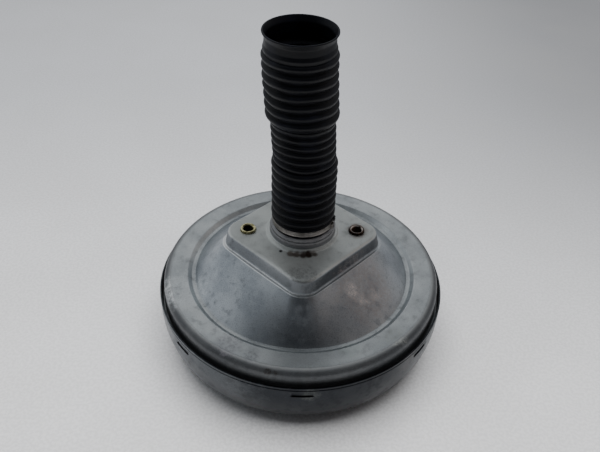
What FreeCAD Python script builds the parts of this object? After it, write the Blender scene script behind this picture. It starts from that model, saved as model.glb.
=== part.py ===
# A vacuum brake booster, lying on its master cylinder side with its rubber boot standing up.
# Origin: the centre of the mounting pad for the master cylinder. +Z runs towards the pedal.
# All sizes are in millimetres.
import FreeCAD, Part
import math
import os
from FreeCAD import Vector

os.makedirs("parts", exist_ok=True)

# Fits and clearances
RUNNING_FIT = 0.05
SEAT_GAP = 0.1
LOOSE_GAP = 0.3

# Pressed sheet of both shells
SHEET = 1.6

# Front shell: a bowl with a raised pad for the master cylinder
RIM_R = 120.0
PILOT_R = 20.0
PAD_HEIGHT = 14.0
PAD_EDGE = 4.0
PAD_TAPER = 9.0
PAD_FILLET = 3.5
BOWL_FLARE = 19.0
BOWL_TAPER = 6.8
BOWL_BAND = 24.0
# Shares of the flared wall that the curves at its foot and at its knee take up
FOOT_SHARE = 0.35
KNEE_SHARE = 0.635

# Lances: slits in the rim band, pressed inwards over the rear shell's flange
LANCES = 7
LANCE_ANGLE = -90.0
LANCE_DEPTH = 9.6
LANCE_WIDTH = 16.0
LANCE_SLIT = 1.3
LANCE_TALL = 4.5
LANCE_PRESS = 1.2

# Rear shell: flange, side wall, flat ring, valley, dome and square plateau
RIM_GAP = 2.4
SIDE_FILLET = 6.0
RING_ABOVE_RIM = 12.0
RING_INSET = 24.0
VALLEY_SLOPE = 3.4
VALLEY_WIDTH = 3.2
VALLEY_DROP = 3.0
VALLEY_FILLET = 1.3
DOME_RISE = 31.0
DOME_OVERLAP = 1.8
PLATEAU_CORNER = 14.0
PLATEAU_MARGIN = 16.1
PLATEAU_TAPER = 2.2
PLATEAU_FLARE = 1.0
PLATEAU_HEIGHT = 12.0
PLATEAU_EDGE = 2.6
COLLAR_HEIGHT = 7.0
COLLAR_FILLET = 4.6

# Reinforcement plates and the threaded bushings for M8 screws
REAR_PLATE = 3.0
FRONT_PLATE = 2.5
PLATE_MARGIN = 1.85
PLATE_CORNER_GAP = 3.0
BUSH_R = 6.15
BUSH_HOLE_R = 3.4
BUSH_CHAMFER = 0.75
BUSH_PROUD = 1.8
BUSH_WALL = 2.0
BUSH_FLANGE = 1.4
REAR_BUSH_DEPTH = 13.0
REAR_BUSH_GAP = 4.8
FRONT_BUSH_DEPTH = 11.0
FRONT_BUSH_GAP = 11.85

# Tail of the valve body, the guide bush round it and its seal
TAIL_R = 19.5
TAIL_WALL = 2.5
TAIL_SPARE = 6.0
GUIDE_WALL = 5.55
GUIDE_DEPTH = 14.6
SLEEVE_WALL = 2.75
SLEEVE_HEIGHT = 11.3
SEAL_HEIGHT = 5.0
SEAL_WIDTH = 3.4

# Boot: cuff, clamp, three runs of folds and the mouth
CUFF_WALL = 2.05
CUFF_LIP = 0.6
CLAMP_ABOVE = 6.0
CLAMP_WIDTH = 4.4
CLAMP_BAND = 0.6
CLAMP_EAR_ANGLE = -28.0
CLAMP_EAR = 5.0
BOOT_WALL = 1.2
FOLD_DEPTH = 2.7
# Each run: its length, its number of folds and its crest beyond the sleeve
LOWER_RUN = 50.1
LOWER_FOLDS = 7
LOWER_CREST = 3.2
MIDDLE_RUN = 36.6
MIDDLE_FOLDS = 6
MIDDLE_CREST = 1.9
UPPER_RUN = 50.4
UPPER_FOLDS = 7
UPPER_CREST = 4.7
SLEEVE_TO_RUN = 0.2
RUN_TO_RUN = 1.4
RUN_TO_MOUTH = 0.4
MOUTH_LENGTH = 14.6
MOUTH_ABOVE_SLEEVE_R = 3.3
MOUTH_WALL = 2.2
MOUTH_NECK = 0.9
MOUTH_FLARE = 0.8
MOUTH_LIP = 2.4

# Power piston: hub, support plate and diaphragm
STROKE = 32.0
HUB_MARGIN = 2.8
HUB_TALL = 16.4
HUB_NECK = 10.9
SPIGOT_R = 24.0
GROOVE_DEPTH = 3.0
HUB_LIP = 1.6
HUB_LIP_INSET = 0.4
PISTON_PLATE = 1.6
PISTON_EDGE_DEPTH = 8.0
PISTON_RING = 21.5
PISTON_STEP = 16.0
PISTON_CLEARANCE = 2.3
DIAPHRAGM = 2.0
BEAD_HEIGHT = 5.4
BEAD_WIDTH = 6.0
ROLL_R = 4.6
ROLL_FLAT = 1.4

# Reaction disc, output rod, its retainer and its adjusting screw
REACTION_R = 13.8
REACTION_THICK = 6.0
ROD_HEAD = 5.0
OUTPUT_R = 6.0
OUTPUT_TIP_Z = 7.5
TIP_SCREW_R = 3.0
TIP_HEAD_R = 5.0
TIP_HEAD = 6.0
TIP_GAP = 1.5
ROD_RETAINER = 1.4
ROD_RETAINER_R = 16.0

# Control valve: stop key, plunger, seats and poppet
KEY_THICK = 2.2
KEY_WIDTH = 14.0
KEY_REACH = 23.4
GUIDE_LAND = 4.4
PLUNGER_TRAVEL = 2.0
PLUNGER_R = 7.0
PLUNGER_NOSE_R = 5.0
PLUNGER_NECK_R = 4.4
AIR_SEAT_WALL = 1.6
AIR_SEAT_TALL = 6.0
AIR_SEAT_CLEARANCE = 1.6
VACUUM_SEAT_GAP = 1.0
VACUUM_SEAT_WIDTH = 1.3
VACUUM_SEAT_TALL = 1.6
VACUUM_PORT_R = 2.0
VACUUM_PORT_LEAN = 4.5
POPPET_MARGIN = 1.9
POPPET_THICK = 2.4
POPPET_HOLE_R = 6.4
INSERT_THICK = 0.8
INSERT_INSET = 1.0
BELLOW_WALL = 1.0
BELLOW_TALL = 5.7
RETAINER_WALL = 1.2
RETAINER_TALL = 8.0

# Input rod, lock nut and clevis
BALL_R = 5.0
BALL_DEPTH = 5.4
ROD_R = 4.0
ROD_NECK_R = 3.2
ROD_THREAD_R = 5.0
ROD_COLLAR_R = 8.0
ROD_COLLAR = 1.5
ROD_SPRING_TALL = 7.0
NUT_ABOVE_TAIL = 34.0
NUT_HEIGHT = 6.0
NUT_FLATS = 17.0
CLEVIS_SIDE = 18.0
CLEVIS_ROUND = 3.5
CLEVIS_HEIGHT = 38.0
CLEVIS_SOCKET = 11.0
CLEVIS_GAP = 9.0
CLEVIS_FORK = 24.0
CLEVIS_PIN_R = 4.0
CLEVIS_PIN_DROP = 8.5

# Air filter, silencer and cap in the mouth of the tail
FILTER_HOLE_R = 6.6
FILTER_THICK = 15.0
SILENCER_THICK = 4.0
FILTER_CAP = 2.0
CAP_RECESS = 0.4
CAP_HOLE_R = 8.0

# Springs: radius of the wire, radius of the coil and number of turns
RETURN_WIRE = 1.8
RETURN_MARGIN = 7.4
RETURN_TAPER = 2.0
RETURN_TURNS = 6.5
SEAT_SHEET = 1.2
SEAT_LIP = 4.0
ROD_SPRING_WIRE = 0.7
ROD_SPRING_R = 7.0
ROD_SPRING_TURNS = 3.5
POPPET_SPRING_WIRE = 0.55
POPPET_SPRING_R = 9.6
POPPET_SPRING_TURNS = 5.0
CHECK_SPRING_WIRE = 0.35
CHECK_SPRING_R = 3.3
CHECK_SPRING_TURNS = 6.0

# Vacuum check valve on the back of the front shell
BOSS_PROUD = 0.6
BOSS_MARGIN = 1.4
GROMMET_WALL = 2.5
GROMMET_LIP = 2.6
GROMMET_FLANGE = 2.4
VALVE_BARREL_R = 6.5
VALVE_WALL = 1.5
VALVE_DEPTH = 12.5
VALVE_FLANGE = 2.6
NIPPLE_R = 4.6
NIPPLE_LENGTH = 13.0
NIPPLE_BULB_R = 5.3
NIPPLE_BULB = 2.6
NIPPLE_TIP = 3.0
NIPPLE_BORE_R = 2.4
CHECK_SEAT = 3.0
CHECK_SEAT_BORE_R = 2.6
CHECK_DISC_GAP = 0.8
CHECK_DISC = 1.6

# Radii that follow from the sizes above
SIDE_R = RIM_R - SHEET - RIM_GAP
FLANGE_R = RIM_R - SHEET - LOOSE_GAP
RING_INNER_R = RIM_R - RING_INSET
VALLEY_OUTER_R = RING_INNER_R - VALLEY_SLOPE
VALLEY_INNER_R = VALLEY_OUTER_R - VALLEY_WIDTH
SLEEVE_R = TAIL_R + RUNNING_FIT + SLEEVE_WALL
GUIDE_R = TAIL_R + RUNNING_FIT + GUIDE_WALL
COLLAR_R = GUIDE_R + RUNNING_FIT + SHEET
BUSH_FLANGE_R = BUSH_R + BUSH_WALL
REAR_BUSH_SPACING = 2 * (COLLAR_R + COLLAR_FILLET + REAR_BUSH_GAP + BUSH_FLANGE_R)
FRONT_BUSH_SPACING = 2 * (PILOT_R + FRONT_BUSH_GAP + BUSH_FLANGE_R)
FRONT_PLATE_R = FRONT_BUSH_SPACING / 2 + BUSH_FLANGE_R + PLATE_MARGIN
PAD_R = FRONT_PLATE_R + PAD_EDGE
PAD_FOOT_R = PAD_R + PAD_TAPER
BOWL_FOOT_R = RIM_R - BOWL_TAPER
CHAMBER_R = TAIL_R - TAIL_WALL
AIR_SEAT_R = PLUNGER_R + AIR_SEAT_WALL
VACUUM_SEAT_INNER = AIR_SEAT_R + AIR_SEAT_CLEARANCE
VACUUM_SEAT_OUTER = VACUUM_SEAT_INNER + VACUUM_SEAT_WIDTH
POPPET_R = VACUUM_SEAT_OUTER + POPPET_MARGIN
GROMMET_R = VALVE_BARREL_R + GROMMET_WALL
GROMMET_FLANGE_R = GROMMET_R + GROMMET_LIP
BOSS_R = GROMMET_FLANGE_R + BOSS_MARGIN
VALVE_CHAMBER_R = VALVE_BARREL_R - VALVE_WALL
MOUTH_R = SLEEVE_R + MOUTH_ABOVE_SLEEVE_R
RETURN_LOW_R = PILOT_R + RETURN_MARGIN
RETURN_HIGH_R = RETURN_LOW_R - RETURN_TAPER
HUB_R = RETURN_HIGH_R + RETURN_WIRE + HUB_MARGIN
GROOVE_R = SPIGOT_R - GROOVE_DEPTH
HUB_LIP_R = SPIGOT_R - HUB_LIP_INSET
PISTON_R = SIDE_R - SHEET - LOOSE_GAP - 2 * ROLL_R - ROLL_FLAT - DIAPHRAGM

# Forms that follow: the curves of the bowl's wall and the square plateau round its bushings
BOWL_SLANT = math.hypot(BOWL_TAPER, BOWL_FLARE)
BOWL_LEAN = math.atan2(BOWL_TAPER, BOWL_FLARE)
BOWL_KNEE_FILLET = KNEE_SHARE * BOWL_SLANT / math.tan(BOWL_LEAN / 2)
BOWL_FOOT_FILLET = FOOT_SHARE * BOWL_SLANT / math.tan(math.pi / 4 - BOWL_LEAN / 2)
PLATEAU_REACH = REAR_BUSH_SPACING / 2 + PLATEAU_MARGIN
PLATEAU_TOP_HALF = PLATEAU_CORNER + (PLATEAU_REACH - PLATEAU_CORNER) / math.sqrt(2)
PLATEAU_FOOT_HALF = PLATEAU_TOP_HALF + PLATEAU_TAPER
PLATEAU_FOOT_CORNER = PLATEAU_CORNER + PLATEAU_FLARE

# Heights that follow, from the bowl up to the boot and then down through the power piston
KNEE_Z = PAD_HEIGHT + BOWL_FLARE
RIM_Z = KNEE_Z + BOWL_BAND
RING_Z = RIM_Z + RING_ABOVE_RIM
VALLEY_Z = RING_Z - VALLEY_DROP
PLATEAU_FOOT_Z = VALLEY_Z + DOME_RISE
PLATEAU_Z = PLATEAU_FOOT_Z + PLATEAU_HEIGHT
COLLAR_Z = PLATEAU_Z + COLLAR_HEIGHT
SLEEVE_Z = COLLAR_Z + SLEEVE_HEIGHT
LOWER_Z = SLEEVE_Z + SLEEVE_TO_RUN
MIDDLE_Z = LOWER_Z + LOWER_RUN + RUN_TO_RUN
UPPER_Z = MIDDLE_Z + MIDDLE_RUN
MOUTH_Z = UPPER_Z + UPPER_RUN + RUN_TO_MOUTH
FLANGE_Z = RIM_Z - LANCE_DEPTH + LANCE_SLIT - SEAT_GAP
FRONT_PLATE_TOP = SHEET + FRONT_PLATE
REAR_PLATE_Z = PLATEAU_Z - SHEET - REAR_PLATE
GUIDE_Z = COLLAR_Z - GUIDE_DEPTH
KEY_Z = GUIDE_Z - LOOSE_GAP - KEY_THICK
PISTON_TOP = KEY_Z - HUB_NECK
PISTON_RING_Z = VALLEY_Z - SHEET - PISTON_CLEARANCE - DIAPHRAGM - SEAT_GAP
HUB_SHOULDER = PISTON_TOP - PISTON_PLATE
HUB_BOTTOM = HUB_SHOULDER - HUB_TALL
ROD_HEAD_Z = HUB_BOTTOM + SEAT_GAP
REACTION_Z = ROD_HEAD_Z + ROD_HEAD + SEAT_GAP
RECESS_Z = REACTION_Z + REACTION_THICK + SEAT_GAP
NOSE_Z = RECESS_Z + PLUNGER_TRAVEL + LOOSE_GAP
OUTPUT_STEM_Z = OUTPUT_TIP_Z + TIP_HEAD + TIP_GAP

# Heights that follow, up through the control valve and along the input rod
AIR_CHAMBER_Z = KEY_Z + KEY_THICK + GUIDE_LAND
FLARE_Z = AIR_CHAMBER_Z + PLUNGER_TRAVEL + LOOSE_GAP
AIR_SEAT_Z = FLARE_Z + AIR_SEAT_TALL
BALL_Z = AIR_SEAT_Z - BALL_DEPTH
POPPET_Z = AIR_SEAT_Z + SEAT_GAP
INSERT_Z = POPPET_Z + POPPET_THICK
VACUUM_SEAT_Z = POPPET_Z - VACUUM_SEAT_GAP
CHAMBER_FLOOR = VACUUM_SEAT_Z - VACUUM_SEAT_TALL
RETAINER_Z = INSERT_Z + BELLOW_TALL
RETAINER_TOP = RETAINER_Z + RETAINER_TALL
ROD_COLLAR_Z = RETAINER_TOP + ROD_SPRING_TALL
TAIL_Z = SLEEVE_Z + STROKE + TAIL_SPARE
CAP_Z = TAIL_Z - CAP_RECESS - FILTER_CAP
SILENCER_Z = CAP_Z - SEAT_GAP - SILENCER_THICK
FILTER_Z = SILENCER_Z - FILTER_THICK
NUT_Z = TAIL_Z + NUT_ABOVE_TAIL
NUT_TOP = NUT_Z + NUT_HEIGHT
CLEVIS_TOP = NUT_TOP + CLEVIS_HEIGHT

# Places that follow, along the check valve's axis
BOSS_Y = RIM_R + BOSS_PROUD
BOSS_Z = PAD_HEIGHT + BOSS_R
VALVE_INNER_Y = BOSS_Y - VALVE_DEPTH
VALVE_FLANGE_Y = BOSS_Y + GROMMET_FLANGE
CHECK_SEAT_Y = VALVE_INNER_Y + SHEET / 2
CHECK_DISC_Y = CHECK_SEAT_Y + CHECK_SEAT + SEAT_GAP


# Building blocks

def put(name, *solids):
    """Write one sub-part, which may be a group of separate solids."""
    shape = solids[0] if len(solids) == 1 else Part.makeCompound(list(solids))
    shape.exportStep("parts/" + name + ".step")


def point(r, z):
    """A point in the X-Z plane, where every turned outline is drawn."""
    return Vector(r, 0, z)


def path_edges(corners):
    """Edges through (r, z, fillet) corners, with an arc at each corner that has a fillet."""
    edges = []
    start = point(*corners[0][:2])
    for before, corner, after in zip(corners, corners[1:], corners[2:]):
        here = point(*corner[:2])
        back = (point(*before[:2]) - here).normalize()
        on = (point(*after[:2]) - here).normalize()
        end = here
        if corner[2] > 0:
            half = back.getAngle(on) / 2
            reach = corner[2] / math.tan(half)
            middle = here + (back + on).normalize() * (corner[2] / math.sin(half) - corner[2])
            edges.append(Part.makeLine(start, here + back * reach))
            end = here + on * reach
            edges.append(Part.Arc(here + back * reach, middle, end).toShape())
        else:
            edges.append(Part.makeLine(start, here))
        start = end
    edges.append(Part.makeLine(start, point(*corners[-1][:2])))
    return edges


def moved_path(corners, distance):
    """The same path moved sideways, to the left of its run, with its fillets kept concentric."""
    normals = []
    for start, end in zip(corners, corners[1:]):
        length = math.hypot(end[0] - start[0], end[1] - start[1])
        normals.append(((start[1] - end[1]) / length, (end[0] - start[0]) / length))
    moved = []
    for index, (r, z, fillet) in enumerate(corners):
        first = normals[max(index - 1, 0)]
        last = normals[min(index, len(normals) - 1)]
        share = distance / (1 + first[0] * last[0] + first[1] * last[1])
        left_turn = first[0] * last[1] > first[1] * last[0]
        change = -distance if left_turn else distance
        rounded = max(fillet + change, 0) if fillet > 0 else 0
        moved.append((r + share * (first[0] + last[0]), z + share * (first[1] + last[1]), rounded))
    return moved


def spun(edges):
    """Solid of revolution about the Z axis from the edges of a closed outline."""
    face = Part.Face(Part.Wire(Part.__sortEdges__(edges)))
    solid = face.revolve(Vector(0, 0, 0), Vector(0, 0, 1), 360)
    if solid.Volume < 0:
        solid.reverse()
    return solid


def turned(corners):
    """Turned solid from a closed outline of (r, z) or (r, z, fillet) corners."""
    full = [corner if len(corner) == 3 else corner + (0,) for corner in corners]
    return spun(path_edges(full + full[:1]))


def sheet_metal(corners, thickness):
    """Turned sheet of even thickness, to the left of its path."""
    other = moved_path(corners, thickness)
    start_cap = Part.makeLine(point(*corners[0][:2]), point(*other[0][:2]))
    end_cap = Part.makeLine(point(*corners[-1][:2]), point(*other[-1][:2]))
    return spun(path_edges(corners) + path_edges(other) + [start_cap, end_cap])


def ring(inner_r, outer_r, low, high):
    """Plain turned ring."""
    return turned([(inner_r, low), (outer_r, low), (outer_r, high), (inner_r, high)])


def rod(r, low, high):
    """Plain cylinder on the Z axis."""
    return Part.makeCylinder(r, high - low, Vector(0, 0, low))


def sector(inner_r, outer_r, low, high, width, middle):
    """Piece of a ring, width degrees wide, centred on the direction of middle degrees."""
    corners = [(inner_r, low, 0), (outer_r, low, 0), (outer_r, high, 0), (inner_r, high, 0)]
    face = Part.Face(Part.Wire(path_edges(corners + corners[:1])))
    solid = face.revolve(Vector(0, 0, 0), Vector(0, 0, 1), width)
    solid.rotate(Vector(0, 0, 0), Vector(0, 0, 1), middle - width / 2)
    return solid


def square_corner(x, y, z, quarter):
    """A point of the rounded square, whose corners lie on the X and Y axes."""
    angle = math.radians(45 + 90 * quarter)
    across = x * math.cos(angle) - y * math.sin(angle)
    along = x * math.sin(angle) + y * math.cos(angle)
    return Vector(across, along, z)


def rounded_square(half, corner, z):
    """Wire of a rounded square of half width half."""
    flat = half - corner
    tip = flat + corner * math.cos(math.pi / 4)
    edges = []
    for quarter in range(4):
        start = square_corner(half, -flat, z, quarter)
        bend = square_corner(half, flat, z, quarter)
        middle = square_corner(tip, tip, z, quarter)
        end = square_corner(flat, half, z, quarter)
        edges.append(Part.makeLine(start, bend))
        edges.append(Part.Arc(bend, middle, end).toShape())
    return Part.Wire(edges)


def split_circle(r, half, corner, z):
    """Circle cut into eight arcs that face the sides and corners of a rounded square."""
    reach = math.atan2(half - corner, half)
    edges = []
    for quarter in range(4):
        side = math.radians(45 + 90 * quarter)
        marks = [side - reach, side, side + reach, side + math.pi / 4, side + math.pi / 2 - reach]
        spots = [Vector(r * math.cos(mark), r * math.sin(mark), z) for mark in marks]
        edges.append(Part.Arc(spots[0], spots[1], spots[2]).toShape())
        edges.append(Part.Arc(spots[2], spots[3], spots[4]).toShape())
    return Part.Wire(edges)


def level_edges(solid, z):
    """The edges of a solid that lie in the plane at height z."""
    found = []
    for edge in solid.Edges:
        box = edge.BoundBox
        if abs(box.ZMin - z) < 0.001 and abs(box.ZMax - z) < 0.001:
            found.append(edge)
    return found


def pair_on_x(solid, spacing):
    """Two copies of a solid, side by side on the X axis."""
    copies = []
    for side in (-1, 1):
        copy = solid.copy()
        copy.translate(Vector(side * spacing / 2, 0, 0))
        copies.append(copy)
    return copies


def coil(low_r, high_r, wire_r, low, high, turns):
    """Compression spring between two flat seats, with a closed turn at each end."""
    closed = 2.1 * wire_r
    open_pitch = (high - low - 2 * wire_r - 2 * closed) / (turns - 2)
    spots = []
    steps = 10
    for step in range(int(turns * steps) + 1):
        turn = step / steps
        rise = closed * min(turn, 1) + open_pitch * min(max(turn - 1, 0), turns - 2)
        rise = rise + closed * max(turn - turns + 1, 0)
        r = low_r + (high_r - low_r) * turn / turns
        angle = 2 * math.pi * turn
        spots.append(Vector(r * math.cos(angle), r * math.sin(angle), low + wire_r + rise))
    line = Part.BSplineCurve()
    line.interpolate(spots)
    sides = 6
    around = []
    for side in range(sides + 1):
        angle = 2 * math.pi * side / sides
        around.append(Vector(low_r + wire_r * math.cos(angle), 0, low + wire_r * (1 + math.sin(angle))))
    section = Part.makePolygon(around)
    return Part.Wire(line.toShape()).makePipeShell([section], True, True)


def on_back(solid):
    """Turn a piece drawn on the Z axis to the check valve's axis, which points to +Y."""
    solid.rotate(Vector(0, 0, 0), Vector(1, 0, 0), -90)
    solid.translate(Vector(0, 0, BOSS_Z))
    return solid


# Shells and what is fastened to them

def front_shell():
    """Deep-drawn bowl with the pad, the pilot hole, the lances and the check valve's flat."""
    path = [
        (PILOT_R, 0, 0),
        (PAD_R, 0, PAD_FILLET),
        (PAD_FOOT_R, PAD_HEIGHT, PAD_FILLET),
        (BOWL_FOOT_R, PAD_HEIGHT, BOWL_FOOT_FILLET),
        (RIM_R, KNEE_Z, BOWL_KNEE_FILLET),
        (RIM_R, RIM_Z, 0),
    ]
    shell = sheet_metal(path, SHEET)
    inside = moved_path(path, SHEET)
    space = spun(path_edges([(0, SHEET, 0)] + inside + [(0, RIM_Z, 0), (0, SHEET, 0)]))
    boss = on_back(rod(BOSS_R, 0, BOSS_Y)).cut(space)
    hollow = on_back(rod(BOSS_R - SHEET, 0, BOSS_Y - SHEET))
    hole = on_back(rod(GROMMET_R, 0, RIM_R + SHEET))
    half_space = Part.makeBox(2 * RIM_R, RIM_R, RIM_Z, Vector(-RIM_R, RIM_R / 2, 0))
    shell = shell.fuse(boss.common(half_space))
    shell = shell.cut(hollow.common(half_space)).cut(hole.common(half_space))
    for hole in pair_on_x(rod(BUSH_R + RUNNING_FIT, -SHEET, 2 * SHEET), FRONT_BUSH_SPACING):
        shell = shell.cut(hole)
    low = RIM_Z - LANCE_DEPTH
    edge = low + LANCE_SLIT
    high = low + LANCE_TALL
    width = math.degrees(LANCE_WIDTH / RIM_R)
    for lance in range(LANCES):
        middle = LANCE_ANGLE + 360 * lance / LANCES
        tongue = sector(RIM_R - SHEET - LANCE_PRESS, RIM_R - LANCE_PRESS, edge, high, width, middle)
        slit = sector(RIM_R - 2 * SHEET, RIM_R + SHEET, low, edge, width, middle)
        dent = sector(RIM_R - LANCE_PRESS, RIM_R + SHEET, edge, high, width, middle)
        shell = shell.fuse(tongue).cut(slit).cut(dent)
    return shell


def dome(drop, inset):
    """Dome from the valley to the plateau, with the plateau on it, lowered and inset by the sheet."""
    foot = PLATEAU_FOOT_Z - drop
    circle = split_circle(VALLEY_INNER_R, PLATEAU_FOOT_HALF, PLATEAU_FOOT_CORNER, VALLEY_Z - drop)
    square = rounded_square(PLATEAU_FOOT_HALF, PLATEAU_FOOT_CORNER, foot)
    skirt = Part.makeLoft([circle, square], True, True)
    low = rounded_square(PLATEAU_FOOT_HALF - inset, PLATEAU_FOOT_CORNER - inset, foot)
    high = rounded_square(PLATEAU_TOP_HALF - inset, PLATEAU_CORNER - inset, PLATEAU_Z - inset)
    block = Part.makeLoft([low, high], True, True)
    block = block.makeFillet(PLATEAU_EDGE - inset / 2, level_edges(block, PLATEAU_Z - inset))
    return skirt.fuse(block)


def rear_shell():
    """Pressed cover: flange, side wall, ring, valley, dome, square plateau and collar."""
    path = [
        (FLANGE_R, FLANGE_Z, 0),
        (SIDE_R, FLANGE_Z, SHEET / 2),
        (SIDE_R, RING_Z, SIDE_FILLET),
        (RING_INNER_R, RING_Z, VALLEY_FILLET),
        (VALLEY_OUTER_R, VALLEY_Z, VALLEY_FILLET),
        (VALLEY_INNER_R - DOME_OVERLAP, VALLEY_Z, 0),
    ]
    below = FLANGE_Z - SHEET
    body = spun(path_edges([(0, below, 0), (FLANGE_R, below, 0)] + path + [(0, VALLEY_Z, 0), (0, below, 0)]))
    inside = moved_path(path, SHEET)[2:]
    start = [(0, below - SHEET, 0), (inside[0][0], below - SHEET, 0)]
    space = spun(path_edges(start + inside + [(0, inside[-1][1], 0), start[0]]))
    slope = math.atan2(DOME_RISE, VALLEY_INNER_R - PLATEAU_FOOT_HALF)
    body = body.fuse(dome(0, 0))
    space = space.fuse(dome(SHEET / math.cos(slope), SHEET))
    wide = COLLAR_R + 2 * COLLAR_FILLET
    neck = [(wide, PLATEAU_Z, 0), (COLLAR_R, PLATEAU_Z, COLLAR_FILLET), (COLLAR_R, COLLAR_Z, 0)]
    body = body.fuse(spun(path_edges([(0, PLATEAU_Z, 0)] + neck + [(0, COLLAR_Z, 0), (0, PLATEAU_Z, 0)])))
    bore = moved_path(neck, SHEET)
    bore[-1] = (bore[-1][0], COLLAR_Z + SHEET, 0)
    floor = PLATEAU_Z - SHEET
    space = space.fuse(spun(path_edges([(0, floor, 0)] + bore + [(0, COLLAR_Z + SHEET, 0), (0, floor, 0)])))
    shell = body.cut(space)
    for hole in pair_on_x(rod(BUSH_R + RUNNING_FIT, floor - SHEET, PLATEAU_Z + SHEET), REAR_BUSH_SPACING):
        shell = shell.cut(hole)
    return shell.removeSplitter()


def rear_reinforcement():
    """Thick rounded plate under the plateau, which carries the threaded bushings."""
    half = PLATEAU_TOP_HALF - SHEET - PLATE_CORNER_GAP
    outline = rounded_square(half, PLATEAU_CORNER - PLATE_CORNER_GAP, REAR_PLATE_Z)
    plate = Part.Face(outline).extrude(Vector(0, 0, REAR_PLATE))
    plate = plate.cut(rod(COLLAR_R + COLLAR_FILLET + LOOSE_GAP, REAR_PLATE_Z - 1, PLATEAU_Z))
    for hole in pair_on_x(rod(BUSH_R + RUNNING_FIT, REAR_PLATE_Z - 1, PLATEAU_Z), REAR_BUSH_SPACING):
        plate = plate.cut(hole)
    return plate


def front_reinforcement():
    """Round plate inside the pad, which carries the master cylinder's bushings."""
    plate = ring(PILOT_R, FRONT_PLATE_R, SHEET, FRONT_PLATE_TOP)
    for hole in pair_on_x(rod(BUSH_R + RUNNING_FIT, 0, FRONT_PLATE_TOP + SHEET), FRONT_BUSH_SPACING):
        plate = plate.cut(hole)
    return plate


def bushing(mouth, flange_top, depth, way):
    """Blind threaded bushing with its mouth at one height and its flange inside the shell."""
    end = mouth - way * (depth + BUSH_WALL)
    return turned([
        (0, mouth - way * depth),
        (BUSH_HOLE_R, mouth - way * depth),
        (BUSH_HOLE_R, mouth - way * BUSH_CHAMFER),
        (BUSH_HOLE_R + BUSH_CHAMFER, mouth),
        (BUSH_R, mouth),
        (BUSH_R, flange_top),
        (BUSH_FLANGE_R, flange_top),
        (BUSH_FLANGE_R, flange_top - way * BUSH_FLANGE),
        (BUSH_R, flange_top - way * BUSH_FLANGE),
        (BUSH_R, end),
        (0, end),
    ])


def guide_bush():
    """Plastic bearing pressed into the collar, with the sleeve that the boot is clamped on."""
    inner = TAIL_R + RUNNING_FIT
    outer = GUIDE_R
    seal = COLLAR_Z - GUIDE_DEPTH / 2
    return turned([
        (inner, GUIDE_Z),
        (outer, GUIDE_Z),
        (outer, COLLAR_Z),
        (SLEEVE_R, COLLAR_Z),
        (SLEEVE_R, SLEEVE_Z),
        (inner, SLEEVE_Z),
        (inner, seal + SEAL_HEIGHT / 2),
        (TAIL_R + SEAL_WIDTH, seal + SEAL_HEIGHT / 2),
        (TAIL_R + SEAL_WIDTH, seal - SEAL_HEIGHT / 2),
        (inner, seal - SEAL_HEIGHT / 2),
    ])


def shaft_seal():
    """Rubber ring in the guide bush, which wipes the valve body's tail."""
    seal = COLLAR_Z - GUIDE_DEPTH / 2
    half = SEAL_HEIGHT / 2 - SEAT_GAP
    return ring(TAIL_R + RUNNING_FIT / 2, TAIL_R + SEAL_WIDTH - RUNNING_FIT, seal - half, seal + half)


# Boot and its clamp

def boot_bellows():
    """Folded rubber boot from its lower cuff to the foot of its mouth."""
    cuff_r = SLEEVE_R + RUNNING_FIT
    clamp_low = COLLAR_Z + CLAMP_ABOVE - SEAT_GAP
    clamp_high = COLLAR_Z + CLAMP_ABOVE + CLAMP_WIDTH + SEAT_GAP
    waist_r = SLEEVE_R + CUFF_WALL
    outside = [
        (waist_r + CUFF_LIP / 2, COLLAR_Z + SEAT_GAP),
        (waist_r + CUFF_LIP / 2, clamp_low),
        (waist_r, clamp_low),
        (waist_r, clamp_high),
        (waist_r + CUFF_LIP, clamp_high),
    ]
    inside = [(cuff_r, COLLAR_Z + SEAT_GAP), (cuff_r, SLEEVE_Z)]
    runs = [
        (LOWER_Z, LOWER_RUN, LOWER_FOLDS, LOWER_CREST),
        (MIDDLE_Z, MIDDLE_RUN, MIDDLE_FOLDS, MIDDLE_CREST),
        (UPPER_Z, UPPER_RUN, UPPER_FOLDS, UPPER_CREST),
    ]
    for start, length, folds, beyond in runs:
        crest = SLEEVE_R + beyond
        valley = crest - FOLD_DEPTH
        pitch = length / folds
        for fold in range(folds):
            low = start + fold * pitch
            outside += [(valley, low), (crest, low + pitch / 2)]
            inside += [(valley - BOOT_WALL, low), (crest - BOOT_WALL, low + pitch / 2)]
        outside.append((valley, start + length))
        inside.append((valley - BOOT_WALL, start + length))
    outside.append((MOUTH_R, MOUTH_Z))
    inside.append((MOUTH_R - MOUTH_WALL, MOUTH_Z))
    return turned(outside + inside[::-1])


def boot_mouth():
    """Upper cuff of the boot, with a narrow neck and a flared lip."""
    high = MOUTH_Z + MOUTH_LENGTH
    neck = high - MOUTH_LIP - MOUTH_WALL
    neck_r = MOUTH_R - MOUTH_NECK
    lip_r = MOUTH_R + MOUTH_FLARE
    return turned([
        (MOUTH_R - MOUTH_WALL, MOUTH_Z),
        (MOUTH_R, MOUTH_Z),
        (neck_r, neck),
        (lip_r, high - MOUTH_LIP / 2),
        (lip_r, high),
        (lip_r - MOUTH_WALL, high),
        (neck_r - MOUTH_WALL, neck),
    ])


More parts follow.
